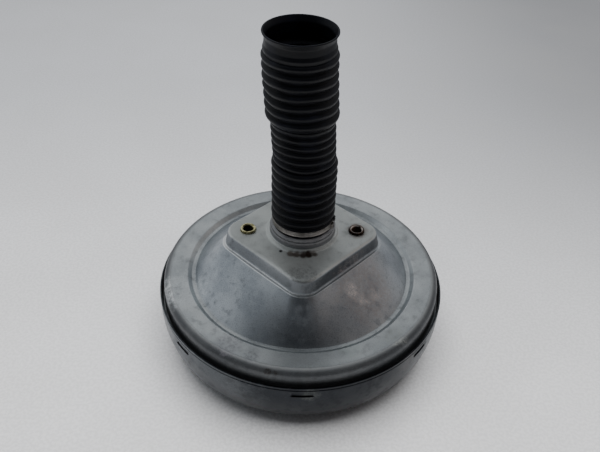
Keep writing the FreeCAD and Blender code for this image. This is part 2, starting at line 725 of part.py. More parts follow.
def boot_clamp():
    """Band clamp with its pinched ear."""
    inner = SLEEVE_R + CUFF_WALL + RUNNING_FIT
    outer = inner + CLAMP_BAND
    low = COLLAR_Z + CLAMP_ABOVE
    high = low + CLAMP_WIDTH
    band = ring(inner, outer, low, high)
    wide = math.degrees(CLAMP_EAR / outer)
    narrow = math.degrees((CLAMP_EAR - 2 * CLAMP_BAND) / outer)
    ear = sector(outer - CLAMP_BAND / 2, outer + CLAMP_EAR / 2, low, high, wide, CLAMP_EAR_ANGLE)
    top = outer + CLAMP_EAR / 2 - CLAMP_BAND
    eye = sector(outer, top, low - CLAMP_BAND, high + CLAMP_BAND, narrow, CLAMP_EAR_ANGLE)
    return band.fuse(ear).cut(eye).removeSplitter()


# Power piston

def valve_body():
    """Plastic hub and tail with the bores of the control valve."""
    guide_r = PLUNGER_R + RUNNING_FIT
    nose_r = PLUNGER_NOSE_R + RUNNING_FIT
    recess_r = REACTION_R + SEAT_GAP
    groove_top = PISTON_TOP + SEAT_GAP + BEAD_HEIGHT
    body = turned([
        (recess_r, HUB_BOTTOM),
        (HUB_R, HUB_BOTTOM),
        (HUB_R, HUB_SHOULDER),
        (SPIGOT_R, HUB_SHOULDER),
        (SPIGOT_R, PISTON_TOP),
        (GROOVE_R, PISTON_TOP),
        (GROOVE_R, groove_top),
        (HUB_LIP_R, groove_top),
        (HUB_LIP_R, groove_top + HUB_LIP),
        (TAIL_R, KEY_Z - HUB_LIP),
        (TAIL_R, TAIL_Z),
        (CHAMBER_R, TAIL_Z),
        (CHAMBER_R, CHAMBER_FLOOR),
        (VACUUM_SEAT_OUTER, CHAMBER_FLOOR),
        (VACUUM_SEAT_OUTER, VACUUM_SEAT_Z),
        (VACUUM_SEAT_INNER, VACUUM_SEAT_Z),
        (VACUUM_SEAT_INNER, AIR_CHAMBER_Z),
        (guide_r, AIR_CHAMBER_Z),
        (guide_r, KEY_Z - HUB_LIP),
        (nose_r, KEY_Z - HUB_LIP),
        (nose_r, RECESS_Z),
        (recess_r, RECESS_Z),
    ])
    window = KEY_WIDTH + 2 * SEAT_GAP
    slot = Part.makeBox(4 * TAIL_R, window, KEY_THICK + 2 * SEAT_GAP)
    slot.translate(Vector(-2 * TAIL_R, -window / 2, KEY_Z - SEAT_GAP))
    body = body.cut(slot)
    port_r = CHAMBER_R - VACUUM_PORT_R - 2 * RUNNING_FIT
    top = Vector(0, port_r - AIR_SEAT_WALL / 2, CHAMBER_FLOOR + 1)
    run = Vector(0, port_r + VACUUM_PORT_LEAN - AIR_SEAT_WALL, HUB_BOTTOM - 1) - top
    for passage in range(2):
        tunnel = Part.makeCylinder(VACUUM_PORT_R, run.Length, top, run)
        tunnel.rotate(Vector(0, 0, 0), Vector(0, 0, 1), 180 * passage)
        body = body.cut(tunnel)
    return body


def support_path():
    """Upper face of the support plate, from its outer edge to the hub."""
    return [
        (PISTON_R, PISTON_RING_Z - PISTON_EDGE_DEPTH, 0),
        (PISTON_R, PISTON_RING_Z, 3 * PISTON_PLATE),
        (PISTON_R - PISTON_RING, PISTON_RING_Z, 4 * PISTON_PLATE),
        (HUB_R + PISTON_STEP, PISTON_TOP, 4 * PISTON_PLATE),
        (SPIGOT_R + SEAT_GAP, PISTON_TOP, 0),
    ]


def diaphragm():
    """Rolling rubber diaphragm: a bead under the flange, a fold, the skin on the plate and a bead."""
    skin = moved_path(support_path(), -(SEAT_GAP + DIAPHRAGM))[2:]
    wall_r = SIDE_R - SHEET - LOOSE_GAP
    bead_top = FLANGE_Z - SHEET - SEAT_GAP
    bead_low = bead_top - BEAD_HEIGHT
    crown = skin[0][1] + DIAPHRAGM + SHEET
    fold = [
        (wall_r, bead_low + BEAD_HEIGHT / 2, 0),
        (wall_r, crown, ROLL_R),
        (PISTON_R + DIAPHRAGM, crown, DIAPHRAGM),
        (PISTON_R - DIAPHRAGM, skin[0][1], DIAPHRAGM),
    ]
    sheet = sheet_metal(fold + skin, DIAPHRAGM)
    outer_bead = ring(FLANGE_R - BEAD_WIDTH, FLANGE_R - LOOSE_GAP, bead_low, bead_top)
    inner_low = PISTON_TOP + SEAT_GAP
    inner_bead = ring(GROOVE_R + SEAT_GAP, GROOVE_R + BEAD_WIDTH, inner_low, inner_low + BEAD_HEIGHT - SEAT_GAP)
    return sheet.fuse(outer_bead).fuse(inner_bead).removeSplitter()


def output_rod():
    """Push rod for the master cylinder, with a head behind the reaction disc."""
    head = rod(REACTION_R - SEAT_GAP, ROD_HEAD_Z, ROD_HEAD_Z + ROD_HEAD)
    stem = rod(OUTPUT_R, OUTPUT_STEM_Z, ROD_HEAD_Z + ROD_HEAD / 2)
    hole = rod(TIP_SCREW_R + RUNNING_FIT, OUTPUT_STEM_Z - 1, OUTPUT_STEM_Z + 4 * TIP_SCREW_R)
    return head.fuse(stem).cut(hole).removeSplitter()


def tip_screw():
    """Adjusting screw with a domed hexagon head at the end of the output rod."""
    low = OUTPUT_TIP_Z
    dome_rise = TIP_HEAD_R / 3
    head = turned([
        (0, low, 0),
        (TIP_HEAD_R / 2, low, dome_rise),
        (TIP_HEAD_R, low + dome_rise, 0),
        (TIP_HEAD_R, low + TIP_HEAD, 0),
        (0, low + TIP_HEAD, 0),
    ])
    shank = rod(TIP_SCREW_R, low + TIP_HEAD, OUTPUT_STEM_Z + 3 * TIP_SCREW_R)
    return head.fuse(shank)


def stop_key():
    """Forked flat key through the valve body, which limits the plunger's travel."""
    bar = Part.makeBox(2 * KEY_REACH, KEY_WIDTH, KEY_THICK, Vector(-KEY_REACH, -KEY_WIDTH / 2, KEY_Z))
    gap_r = PLUNGER_NECK_R + LOOSE_GAP
    eye = rod(gap_r, KEY_Z - 1, KEY_Z + KEY_THICK + 1)
    mouth = Part.makeBox(KEY_REACH + 1, 2 * gap_r, KEY_THICK + 2, Vector(0, -gap_r, KEY_Z - 1))
    return bar.cut(eye).cut(mouth)


def plunger():
    """Air valve plunger: nose, key groove, guide land, air seat and the socket for the ball."""
    groove_low = KEY_Z - LOOSE_GAP
    groove_high = KEY_Z + KEY_THICK + PLUNGER_TRAVEL + LOOSE_GAP
    body = turned([
        (0, NOSE_Z),
        (PLUNGER_NOSE_R, NOSE_Z),
        (PLUNGER_NOSE_R, groove_low),
        (PLUNGER_NECK_R, groove_low),
        (PLUNGER_NECK_R, groove_high),
        (PLUNGER_R, groove_high),
        (PLUNGER_R, FLARE_Z),
        (AIR_SEAT_R, FLARE_Z + AIR_SEAT_WALL),
        (AIR_SEAT_R, AIR_SEAT_Z),
        (0, AIR_SEAT_Z),
    ])
    socket_r = BALL_R + RUNNING_FIT
    socket = Part.makeSphere(socket_r, Vector(0, 0, BALL_Z))
    lip = socket_r / 3
    lip_r = math.sqrt(socket_r ** 2 - lip ** 2)
    mouth_rise = AIR_SEAT_Z - BALL_Z
    mouth = Part.makeCone(lip_r, POPPET_HOLE_R, mouth_rise - lip, Vector(0, 0, BALL_Z + lip))
    return body.cut(socket).cut(mouth)


def input_rod():
    """Pedal rod with its ball end, the spring collar and the threaded end."""
    ball = Part.makeSphere(BALL_R, Vector(0, 0, BALL_Z))
    shaft = turned([
        (0, BALL_Z),
        (ROD_NECK_R, BALL_Z),
        (ROD_NECK_R, INSERT_Z),
        (ROD_R, INSERT_Z + ROD_R),
        (ROD_R, ROD_COLLAR_Z),
        (ROD_COLLAR_R, ROD_COLLAR_Z),
        (ROD_COLLAR_R, ROD_COLLAR_Z + ROD_COLLAR),
        (ROD_R, ROD_COLLAR_Z + ROD_COLLAR),
        (ROD_R, TAIL_Z + ROD_THREAD_R),
        (ROD_THREAD_R, TAIL_Z + 2 * ROD_THREAD_R - ROD_R),
        (ROD_THREAD_R, NUT_TOP + CLEVIS_SOCKET - CLEVIS_PIN_R / 2),
        (0, NUT_TOP + CLEVIS_SOCKET - CLEVIS_PIN_R / 2),
    ])
    return ball.fuse(shaft).removeSplitter()


def lock_nut():
    """Hexagon nut that locks the clevis on the rod."""
    corner_r = NUT_FLATS / math.sqrt(3)
    corners = []
    for side in range(7):
        angle = math.radians(60 * side)
        corners.append(Vector(corner_r * math.cos(angle), corner_r * math.sin(angle), NUT_Z))
    nut = Part.Face(Part.makePolygon(corners)).extrude(Vector(0, 0, NUT_HEIGHT))
    slope = NUT_HEIGHT / 4
    chamfer = turned([
        (0, NUT_Z),
        (corner_r - slope, NUT_Z),
        (corner_r, NUT_Z + slope / 2),
        (corner_r, NUT_TOP - slope / 2),
        (corner_r - slope, NUT_TOP),
        (0, NUT_TOP),
    ])
    return nut.common(chamfer).cut(rod(ROD_THREAD_R + RUNNING_FIT, NUT_Z - 1, NUT_TOP + 1))


def clevis():
    """Forked end for the pedal: a rounded square block with a slot and a cross hole."""
    half = CLEVIS_SIDE / 2
    block = Part.makeBox(CLEVIS_SIDE, CLEVIS_SIDE, CLEVIS_HEIGHT, Vector(-half, -half, NUT_TOP))
    upright = [edge for edge in block.Edges if edge.BoundBox.ZLength > CLEVIS_HEIGHT / 2]
    block = block.makeFillet(CLEVIS_ROUND, upright)
    slot_low = CLEVIS_TOP - CLEVIS_FORK
    slot = Part.makeBox(CLEVIS_GAP, 2 * CLEVIS_SIDE, CLEVIS_FORK, Vector(-CLEVIS_GAP / 2, -CLEVIS_SIDE, slot_low))
    socket = rod(ROD_THREAD_R + RUNNING_FIT, NUT_TOP - 1, NUT_TOP + CLEVIS_SOCKET)
    start = Vector(-CLEVIS_SIDE, 0, CLEVIS_TOP - CLEVIS_PIN_DROP)
    pin_hole = Part.makeCylinder(CLEVIS_PIN_R, 2 * CLEVIS_SIDE, start, Vector(1, 0, 0))
    return block.cut(slot).cut(socket).cut(pin_hole)


def poppet_bellow():
    """Thin rubber sleeve that joins the poppet face to its bead under the retainer."""
    inner = POPPET_R - BELLOW_WALL
    bead_low = RETAINER_Z - SEAT_GAP - 1.5 * BELLOW_WALL
    return turned([
        (inner, INSERT_Z + SEAT_GAP),
        (POPPET_R, INSERT_Z + SEAT_GAP),
        (POPPET_R, bead_low),
        (CHAMBER_R - SEAT_GAP, bead_low),
        (CHAMBER_R - SEAT_GAP, RETAINER_Z - SEAT_GAP),
        (inner, RETAINER_Z - SEAT_GAP),
    ])


def poppet_retainer():
    """Cup ring that holds the poppet's bead and carries the rod's return spring."""
    outer = CHAMBER_R - RUNNING_FIT
    return turned([
        (outer - RETAINER_WALL, RETAINER_Z),
        (outer, RETAINER_Z),
        (outer, RETAINER_TOP),
        (POPPET_HOLE_R, RETAINER_TOP),
        (POPPET_HOLE_R, RETAINER_TOP - RETAINER_WALL),
        (outer - RETAINER_WALL, RETAINER_TOP - RETAINER_WALL),
    ])


def spring_seat():
    """Pressed ring with a turned-up lip, which centres the return spring on the pad."""
    low = FRONT_PLATE_TOP
    lip_r = RETURN_LOW_R + RETURN_WIRE + LOOSE_GAP
    return turned([
        (PILOT_R + SHEET, low),
        (lip_r + SEAT_SHEET, low),
        (lip_r + SEAT_SHEET, low + SEAT_LIP),
        (lip_r, low + SEAT_LIP),
        (lip_r, low + SEAT_SHEET),
        (PILOT_R + SHEET, low + SEAT_SHEET),
    ])


# Check valve

def grommet():
    """Rubber grommet that seals the check valve in the flat on the shell."""
    inner = VALVE_BARREL_R + RUNNING_FIT
    back = BOSS_Y - SHEET
    return on_back(turned([
        (inner, back - GROMMET_FLANGE),
        (GROMMET_FLANGE_R - SHEET, back - GROMMET_FLANGE),
        (GROMMET_FLANGE_R - SHEET, back - SEAT_GAP / 2),
        (GROMMET_R - SEAT_GAP, back - SEAT_GAP / 2),
        (GROMMET_R - SEAT_GAP, BOSS_Y + SEAT_GAP / 2),
        (GROMMET_FLANGE_R, BOSS_Y + SEAT_GAP / 2),
        (GROMMET_FLANGE_R, BOSS_Y + GROMMET_FLANGE),
        (inner, BOSS_Y + GROMMET_FLANGE),
    ]))


def check_valve_body():
    """Plastic barrel, flange and hose nipple with the chamber of the check disc."""
    nipple = VALVE_FLANGE_Y + VALVE_FLANGE
    end = BOSS_Y + GROMMET_FLANGE
    bulb = nipple + NIPPLE_LENGTH
    tip = bulb + NIPPLE_BULB
    return on_back(turned([
        (VALVE_CHAMBER_R, VALVE_INNER_Y),
        (VALVE_BARREL_R, VALVE_INNER_Y),
        (VALVE_BARREL_R, VALVE_FLANGE_Y),
        (GROMMET_FLANGE_R - VALVE_WALL / 2, VALVE_FLANGE_Y),
        (GROMMET_FLANGE_R - VALVE_WALL / 2, nipple),
        (NIPPLE_R, nipple),
        (NIPPLE_R, bulb),
        (NIPPLE_BULB_R, bulb),
        (NIPPLE_BULB_R, tip - NIPPLE_BULB / 2),
        (NIPPLE_R, tip + NIPPLE_TIP),
        (NIPPLE_BORE_R, tip + NIPPLE_TIP),
        (NIPPLE_BORE_R, end),
        (VALVE_CHAMBER_R, end),
    ]))


def main():
    """Write every sub-part."""
    put("front_shell", front_shell())
    put("rear_shell", rear_shell())
    put("front_reinforcement", front_reinforcement())
    put("rear_reinforcement", rear_reinforcement())
    front_bush = bushing(0, FRONT_PLATE_TOP, FRONT_BUSH_DEPTH, -1)
    put("front_bushings", *pair_on_x(front_bush, FRONT_BUSH_SPACING))
    rear_bush = bushing(PLATEAU_Z + BUSH_PROUD, REAR_PLATE_Z, REAR_BUSH_DEPTH, 1)
    put("rear_bushings", *pair_on_x(rear_bush, REAR_BUSH_SPACING))
    put("guide_bush", guide_bush())
    put("shaft_seal", shaft_seal())
    put("boot_bellows", boot_bellows())
    put("boot_mouth", boot_mouth())
    put("boot_clamp", boot_clamp())
    put("valve_body", valve_body())
    put("support_plate", sheet_metal(support_path(), PISTON_PLATE))
    put("diaphragm", diaphragm())
    put("reaction_disc", rod(REACTION_R, REACTION_Z, REACTION_Z + REACTION_THICK))
    put("output_rod", output_rod())
    put("output_tip_screw", tip_screw())
    put("output_rod_retainer", ring(OUTPUT_R + LOOSE_GAP, ROD_RETAINER_R, HUB_BOTTOM - ROD_RETAINER, HUB_BOTTOM))
    put("stop_key", stop_key())
    put("air_valve_plunger", plunger())
    put("poppet", ring(POPPET_HOLE_R, POPPET_R, POPPET_Z, INSERT_Z))
    insert = ring(POPPET_HOLE_R + INSERT_INSET, POPPET_R - 2 * INSERT_INSET, INSERT_Z, INSERT_Z + INSERT_THICK)
    put("poppet_insert", insert)
    put("poppet_bellow", poppet_bellow())
    put("poppet_retainer", poppet_retainer())
    put("input_rod", input_rod())
    put("lock_nut", lock_nut())
    put("clevis", clevis())
    pack_r = CHAMBER_R - SEAT_GAP
    put("air_filter", ring(FILTER_HOLE_R, pack_r, FILTER_Z, SILENCER_Z - SEAT_GAP))
    put("silencer", ring(FILTER_HOLE_R, pack_r, SILENCER_Z, CAP_Z - SEAT_GAP))
    put("filter_cap", ring(CAP_HOLE_R, CHAMBER_R - RUNNING_FIT, CAP_Z, CAP_Z + FILTER_CAP))
    put("spring_seat", spring_seat())
    seat_top = FRONT_PLATE_TOP + SEAT_SHEET + SEAT_GAP
    hub = HUB_BOTTOM - SEAT_GAP
    put("return_spring", coil(RETURN_LOW_R, RETURN_HIGH_R, RETURN_WIRE, seat_top, hub, RETURN_TURNS))
    low = RETAINER_TOP + SEAT_GAP
    high = ROD_COLLAR_Z - SEAT_GAP
    put("rod_return_spring", coil(ROD_SPRING_R, ROD_SPRING_R, ROD_SPRING_WIRE, low, high, ROD_SPRING_TURNS))
    low = INSERT_Z + INSERT_THICK + SEAT_GAP
    high = RETAINER_TOP - RETAINER_WALL - SEAT_GAP
    put("poppet_spring", coil(POPPET_SPRING_R, POPPET_SPRING_R, POPPET_SPRING_WIRE, low, high, POPPET_SPRING_TURNS))
    put("check_valve_grommet", grommet())
    put("check_valve_body", check_valve_body())
    seat_end = CHECK_SEAT_Y + CHECK_SEAT
    put("check_valve_seat", on_back(ring(CHECK_SEAT_BORE_R, VALVE_CHAMBER_R - RUNNING_FIT, CHECK_SEAT_Y, seat_end)))
    disc_end = CHECK_DISC_Y + CHECK_DISC
    put("check_valve_disc", on_back(rod(VALVE_CHAMBER_R - CHECK_DISC_GAP, CHECK_DISC_Y, disc_end)))
    low = disc_end + SEAT_GAP
    high = VALVE_FLANGE_Y - SEAT_GAP
    put("check_valve_spring",
        on_back(coil(CHECK_SPRING_R, CHECK_SPRING_R, CHECK_SPRING_WIRE, low, high, CHECK_SPRING_TURNS)))


main()
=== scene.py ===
# %% [markdown]
# A vacuum brake booster stands on its master cylinder side, with its rubber boot up. Its imported CAD
# model is the frame: it gives every place and size, and the pieces below only dress it. The first
# cell loads it and keeps its box.

# %% The imported model
import math

import bmesh
import bpy
from mathutils import Matrix, Vector


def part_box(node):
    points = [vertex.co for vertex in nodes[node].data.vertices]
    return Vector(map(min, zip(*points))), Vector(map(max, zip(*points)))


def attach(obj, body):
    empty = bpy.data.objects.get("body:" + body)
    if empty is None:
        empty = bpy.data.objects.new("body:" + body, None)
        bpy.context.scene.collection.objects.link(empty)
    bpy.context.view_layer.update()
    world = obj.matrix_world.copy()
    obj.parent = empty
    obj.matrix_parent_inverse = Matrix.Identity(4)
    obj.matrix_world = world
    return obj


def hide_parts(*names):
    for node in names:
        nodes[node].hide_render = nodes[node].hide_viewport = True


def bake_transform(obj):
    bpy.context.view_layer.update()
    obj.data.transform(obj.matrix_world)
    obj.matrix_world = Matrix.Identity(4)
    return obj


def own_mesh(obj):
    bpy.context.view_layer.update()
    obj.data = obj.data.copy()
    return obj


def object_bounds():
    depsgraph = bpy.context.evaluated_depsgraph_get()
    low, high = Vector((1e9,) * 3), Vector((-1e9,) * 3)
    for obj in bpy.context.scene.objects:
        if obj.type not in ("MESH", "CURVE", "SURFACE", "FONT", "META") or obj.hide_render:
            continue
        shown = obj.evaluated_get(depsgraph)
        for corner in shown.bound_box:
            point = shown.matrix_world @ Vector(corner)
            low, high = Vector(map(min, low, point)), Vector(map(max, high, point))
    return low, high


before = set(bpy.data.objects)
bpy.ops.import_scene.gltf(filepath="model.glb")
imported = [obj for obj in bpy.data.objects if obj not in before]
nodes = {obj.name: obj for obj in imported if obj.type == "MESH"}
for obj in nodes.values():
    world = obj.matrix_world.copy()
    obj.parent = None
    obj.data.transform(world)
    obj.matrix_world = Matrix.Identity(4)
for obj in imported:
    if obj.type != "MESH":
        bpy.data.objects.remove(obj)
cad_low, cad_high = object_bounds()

MM = 0.001
print("height:", round((cad_high.z - cad_low.z) / MM, 1), "mm")

# %% [markdown]
# Colours are easiest to note as the sRGB hex values that a picture shows, while the shader wants
# linear ones, so one function turns the first into the second. A second small function adds a node
# with its settings and its links in one line, so that each material reads like a recipe.

# %% Colour and node helpers
def linear(hex_colour):
    """Linear RGBA of an sRGB hex value."""
    parts = [int(hex_colour[at:at + 2], 16) / 255 for at in (1, 3, 5)]
    return [p / 12.92 if p <= 0.04045 else ((p + 0.055) / 1.055) ** 2.4 for p in parts] + [1.0]


def add(tree, kind, settings, inputs):
    """A new node with its settings; each input gets a value, a socket or a node's first output."""
    node = tree.nodes.new(kind)
    for name, value in settings.items():
        setattr(node, name, value)
    for name, value in inputs.items():
        if isinstance(value, bpy.types.Node):
            value = value.outputs[0]
        if isinstance(value, bpy.types.NodeSocket):
            tree.links.new(value, node.inputs[name])
        else:
            node.inputs[name].default_value = value
    return node


# Short names for the nodes that come again and again, and for their settings. A map range has its
# value as input 0, the range it comes in as 1 and 2, and the range it goes out as 3 and 4, which are
# 0 and 1 if left alone. A colour mix has its share as input 0, its colours as 6 and 7, and its
# result as output 2.
MATH = "ShaderNodeMath"
VECTORS = "ShaderNodeVectorMath"
RANGE = "ShaderNodeMapRange"
MIX = "ShaderNodeMix"
NOISE = "ShaderNodeTexNoise"
SPLIT = "ShaderNodeSeparateXYZ"
JOIN = "ShaderNodeCombineXYZ"
PLUS = {"operation": "ADD"}
MINUS = {"operation": "SUBTRACT"}
TIMES = {"operation": "MULTIPLY"}
OVER = {"operation": "DIVIDE"}
POWER = {"operation": "POWER"}
SMOOTH = {"interpolation_type": "SMOOTHSTEP"}
COLOURS = {"data_type": "RGBA"}


def new_material(name, metallic):
    """Material with a Principled shader; returns it with its tree, its shader and object coordinates."""
    material = bpy.data.materials.new(name)
    material.use_nodes = True
    tree = material.node_tree
    shader = tree.nodes["Principled BSDF"]
    shader.inputs["Metallic"].default_value = metallic
    place = add(tree, "ShaderNodeTexCoord", {}, {}).outputs["Object"]
    return material, tree, shader, place


print("helpers ready")

# %% [markdown]
# The booster was seen from about 39 degrees above, half a metre away, with a short lens. A camera
# is placed by its position, its heading, its pitch and its roll, all worked out once from the
# ellipses of the rim and the ring. Setting the matrix from three axes avoids any Euler order.

# %% Camera
IMAGE_WIDTH = 600
FOCAL_PIXELS = 693.1
CAMERA_PLACE = Vector((-0.01508, -0.43743, 0.46953))
CAMERA_HEADING = math.radians(1.7)
CAMERA_PITCH = math.radians(39.155)
CAMERA_ROLL = math.radians(1.8655)

ahead = Vector((math.sin(CAMERA_HEADING) * math.cos(CAMERA_PITCH),
                math.cos(CAMERA_HEADING) * math.cos(CAMERA_PITCH), -math.sin(CAMERA_PITCH)))
level = Vector((math.cos(CAMERA_HEADING), -math.sin(CAMERA_HEADING), 0))
upright = level.cross(ahead)
right = level * math.cos(CAMERA_ROLL) + upright * math.sin(CAMERA_ROLL)
above = right.cross(ahead)
camera_data = bpy.data.cameras.new("camera")
camera_data.sensor_width = 36
camera_data.lens = 36 * FOCAL_PIXELS / IMAGE_WIDTH
camera = bpy.data.objects.new("camera", camera_data)
facing = Matrix((right, above, -ahead)).transposed().to_4x4()
camera.matrix_world = Matrix.Translation(CAMERA_PLACE) @ facing
bpy.context.scene.collection.objects.link(camera)
bpy.context.scene.camera = camera
print("lens:", round(camera_data.lens, 1), "mm")

# %% [markdown]
# Bare metal shows what stands round it more than its own colour, so the surroundings matter. The
# room has a bright band behind, as high as a window's top, above it a dim ceiling, and sides that
# grow darker towards the camera. That is what darkens the front of the dome. One soft lamp high up
# lights the floor and gives the shadow below the bowl. It is hidden from reflections, because a
# second glint on every edge would make the satin zinc look chromed.

# %% Surroundings and lamp
world = bpy.data.worlds.new("studio")
bpy.context.scene.world = world
world.use_nodes = True
sky = world.node_tree
way = add(sky, "ShaderNodeTexCoord", {}, {}).outputs["Generated"]
ways = add(sky, SPLIT, {}, {0: way}).outputs
window = add(sky, RANGE, SMOOTH, {0: ways["Z"], 1: 0.54, 2: 0.64}).outputs[0]
amount = add(sky, RANGE, SMOOTH, {0: ways["Z"], 1: 0.69, 2: 0.77, 3: 1.0, 4: 0.0})
window = add(sky, MATH, TIMES, {0: window, 1: amount}).outputs[0]
amount = add(sky, RANGE, SMOOTH, {0: ways["Y"], 1: 0.2, 2: 0.6})
window = add(sky, MATH, TIMES, {0: window, 1: amount}).outputs[0]
amount = add(sky, RANGE, SMOOTH, {0: ways["X"], 1: -0.25, 2: 0.35, 3: 1.0, 4: 0.55})
window = add(sky, MATH, TIMES, {0: window, 1: amount}).outputs[0]
amount = add(sky, RANGE, SMOOTH, {0: ways["Y"], 1: -0.75, 2: 0.35})
shade = add(sky, MIX, COLOURS, {0: amount, 6: linear("#26272b"), 7: linear("#b2b5b9")}).outputs[2]
first = add(sky, RANGE, SMOOTH, {0: ways["X"], 1: -0.45, 2: -0.85})
second = add(sky, RANGE, SMOOTH, {0: ways["Y"], 1: -0.45, 2: 0.05})
left = add(sky, MATH, TIMES, {0: first, 1: second}).outputs[0]
shade = add(sky, MIX, COLOURS, {0: left, 6: shade, 7: linear("#d2d6da")}).outputs[2]
amount = add(sky, RANGE, SMOOTH, {0: ways["Z"], 1: 0.72, 2: 0.84})
shade = add(sky, MIX, COLOURS, {0: amount, 6: shade, 7: linear("#808386")}).outputs[2]
shade = add(sky, MIX, COLOURS, {0: window, 6: shade, 7: linear("#f6f7f8")}).outputs[2]
first = add(sky, RANGE, SMOOTH, {0: ways["X"], 1: 0.35, 2: 0.85})
second = add(sky, RANGE, SMOOTH, {0: ways["Z"], 1: 0.05, 2: 0.4})
warm = add(sky, MATH, TIMES, {0: first, 1: second}).outputs[0]
amount = add(sky, MATH, TIMES, {0: warm, 1: 0.5})
shade = add(sky, MIX, COLOURS, {0: amount, 6: shade, 7: linear("#a8978c")}).outputs[2]
sky.links.new(shade, sky.nodes["Background"].inputs["Color"])
sky.nodes["Background"].inputs["Strength"].default_value = 1.0


def soft_lamp(name, place, size, watts):
    """Square area lamp that points at the middle of the booster."""
    data = bpy.data.lights.new(name, "AREA")
    data.size = size
    data.energy = watts
    lamp = bpy.data.objects.new(name, data)
    lamp.location = place
    aim = (cad_low + cad_high) / 2 - Vector(place)
    lamp.rotation_mode = "QUATERNION"
    lamp.rotation_quaternion = aim.to_track_quat("-Z", "Y")
    lamp.visible_glossy = False
    bpy.context.scene.collection.objects.link(lamp)


soft_lamp("overhead_lamp", (0.0, 0.10, 1.5), 1.5, 35.0)
print("studio ready")

# %% [markdown]
# The floor is a sheet of matt white board with a fine grain. A flat plane with a two-tone colour does
# it, paler in front than behind and darker still at the far right: a painted falloff of light and a
# painted shade in that corner. Its colour and not its light makes the pale background.

# %% Floor
board, tree, shader, place = new_material("matt_board", 0.0)
axes = add(tree, SPLIT, {}, {0: place}).outputs
# painted falloff of light: the floor's colour grows darker from front to back
painted_falloff = add(tree, RANGE, SMOOTH, {0: axes["Y"], 1: -0.25, 2: 0.5}).outputs[0]
tone = add(tree, MIX, COLOURS, {0: painted_falloff, 6: linear("#f6f6f7"), 7: linear("#c3c5c9")}).outputs[2]
# painted shade: the far right of the floor is darker
amount = add(tree, RANGE, SMOOTH, {0: axes["X"], 1: -0.1, 2: 0.5})
corner = add(tree, MATH, TIMES, {0: painted_falloff, 1: amount}).outputs[0]
tone = add(tree, MIX, COLOURS, {0: corner, 6: tone, 7: linear("#919295")}).outputs[2]
grain = add(tree, NOISE, {}, {"Vector": place, "Scale": 1 / (2.5 * MM), "Detail": 2.0}).outputs[0]
amount = add(tree, RANGE, SMOOTH, {0: grain, 1: 0.38, 2: 0.62, 3: 0.0, 4: 0.16})
tone = add(tree, MIX, COLOURS, {0: amount, 6: tone, 7: linear("#808080")}).outputs[2]
clouds = add(tree, NOISE, {}, {"Vector": place, "Scale": 1 / (120 * MM), "Detail": 2.0}).outputs[0]
amount = add(tree, RANGE, SMOOTH, {0: clouds, 1: 0.35, 2: 0.65, 3: 0.0, 4: 0.1})
tone = add(tree, MIX, COLOURS, {0: amount, 6: tone, 7: linear("#a7a6a4")}).outputs[2]
tree.links.new(tone, shader.inputs["Base Color"])
shader.inputs["Roughness"].default_value = 0.7
bump = add(tree, "ShaderNodeBump", {}, {"Height": grain, "Distance": 0.1 * MM})
tree.links.new(bump.outputs[0], shader.inputs["Normal"])
bpy.ops.mesh.primitive_plane_add(size=6.0, location=(0, 0, cad_low.z))
floor = bpy.context.object
floor.name = "floor"
floor.data.materials.append(board)
print("floor at", round(cad_low.z / MM, 2), "mm")

# %% [markdown]
# Both shells are deep-drawn sheet steel with a zinc coating, dulled by handling. Zinc is a bluish
# grey metal. Its crystals and its thin oxide give cloudy patches, the drawing leaves the dome a
# little bluer, and its surface is satin. Noises at different real sizes make clouds, blots and
# grain, and the same clouds also move the roughness, so that the gloss is uneven too.

# %% Zinc coated steel
def spot(tree, place, centre, radius, ragged):
    """Soft mask round a point, with an edge that a noise makes ragged."""
    away = add(tree, VECTORS, {"operation": "DISTANCE"}, {0: place, 1: centre})
    amount = add(tree, MATH, MINUS, {0: ragged, 1: 0.5})
    push = add(tree, MATH, TIMES, {0: amount, 1: 0.9 * radius}).outputs[0]
    edge = add(tree, MATH, PLUS, {0: away.outputs["Value"], 1: push}).outputs[0]
    return add(tree, RANGE, SMOOTH, {0: edge, 1: 0.45 * radius, 2: radius, 3: 1.0, 4: 0.0}).outputs[0]


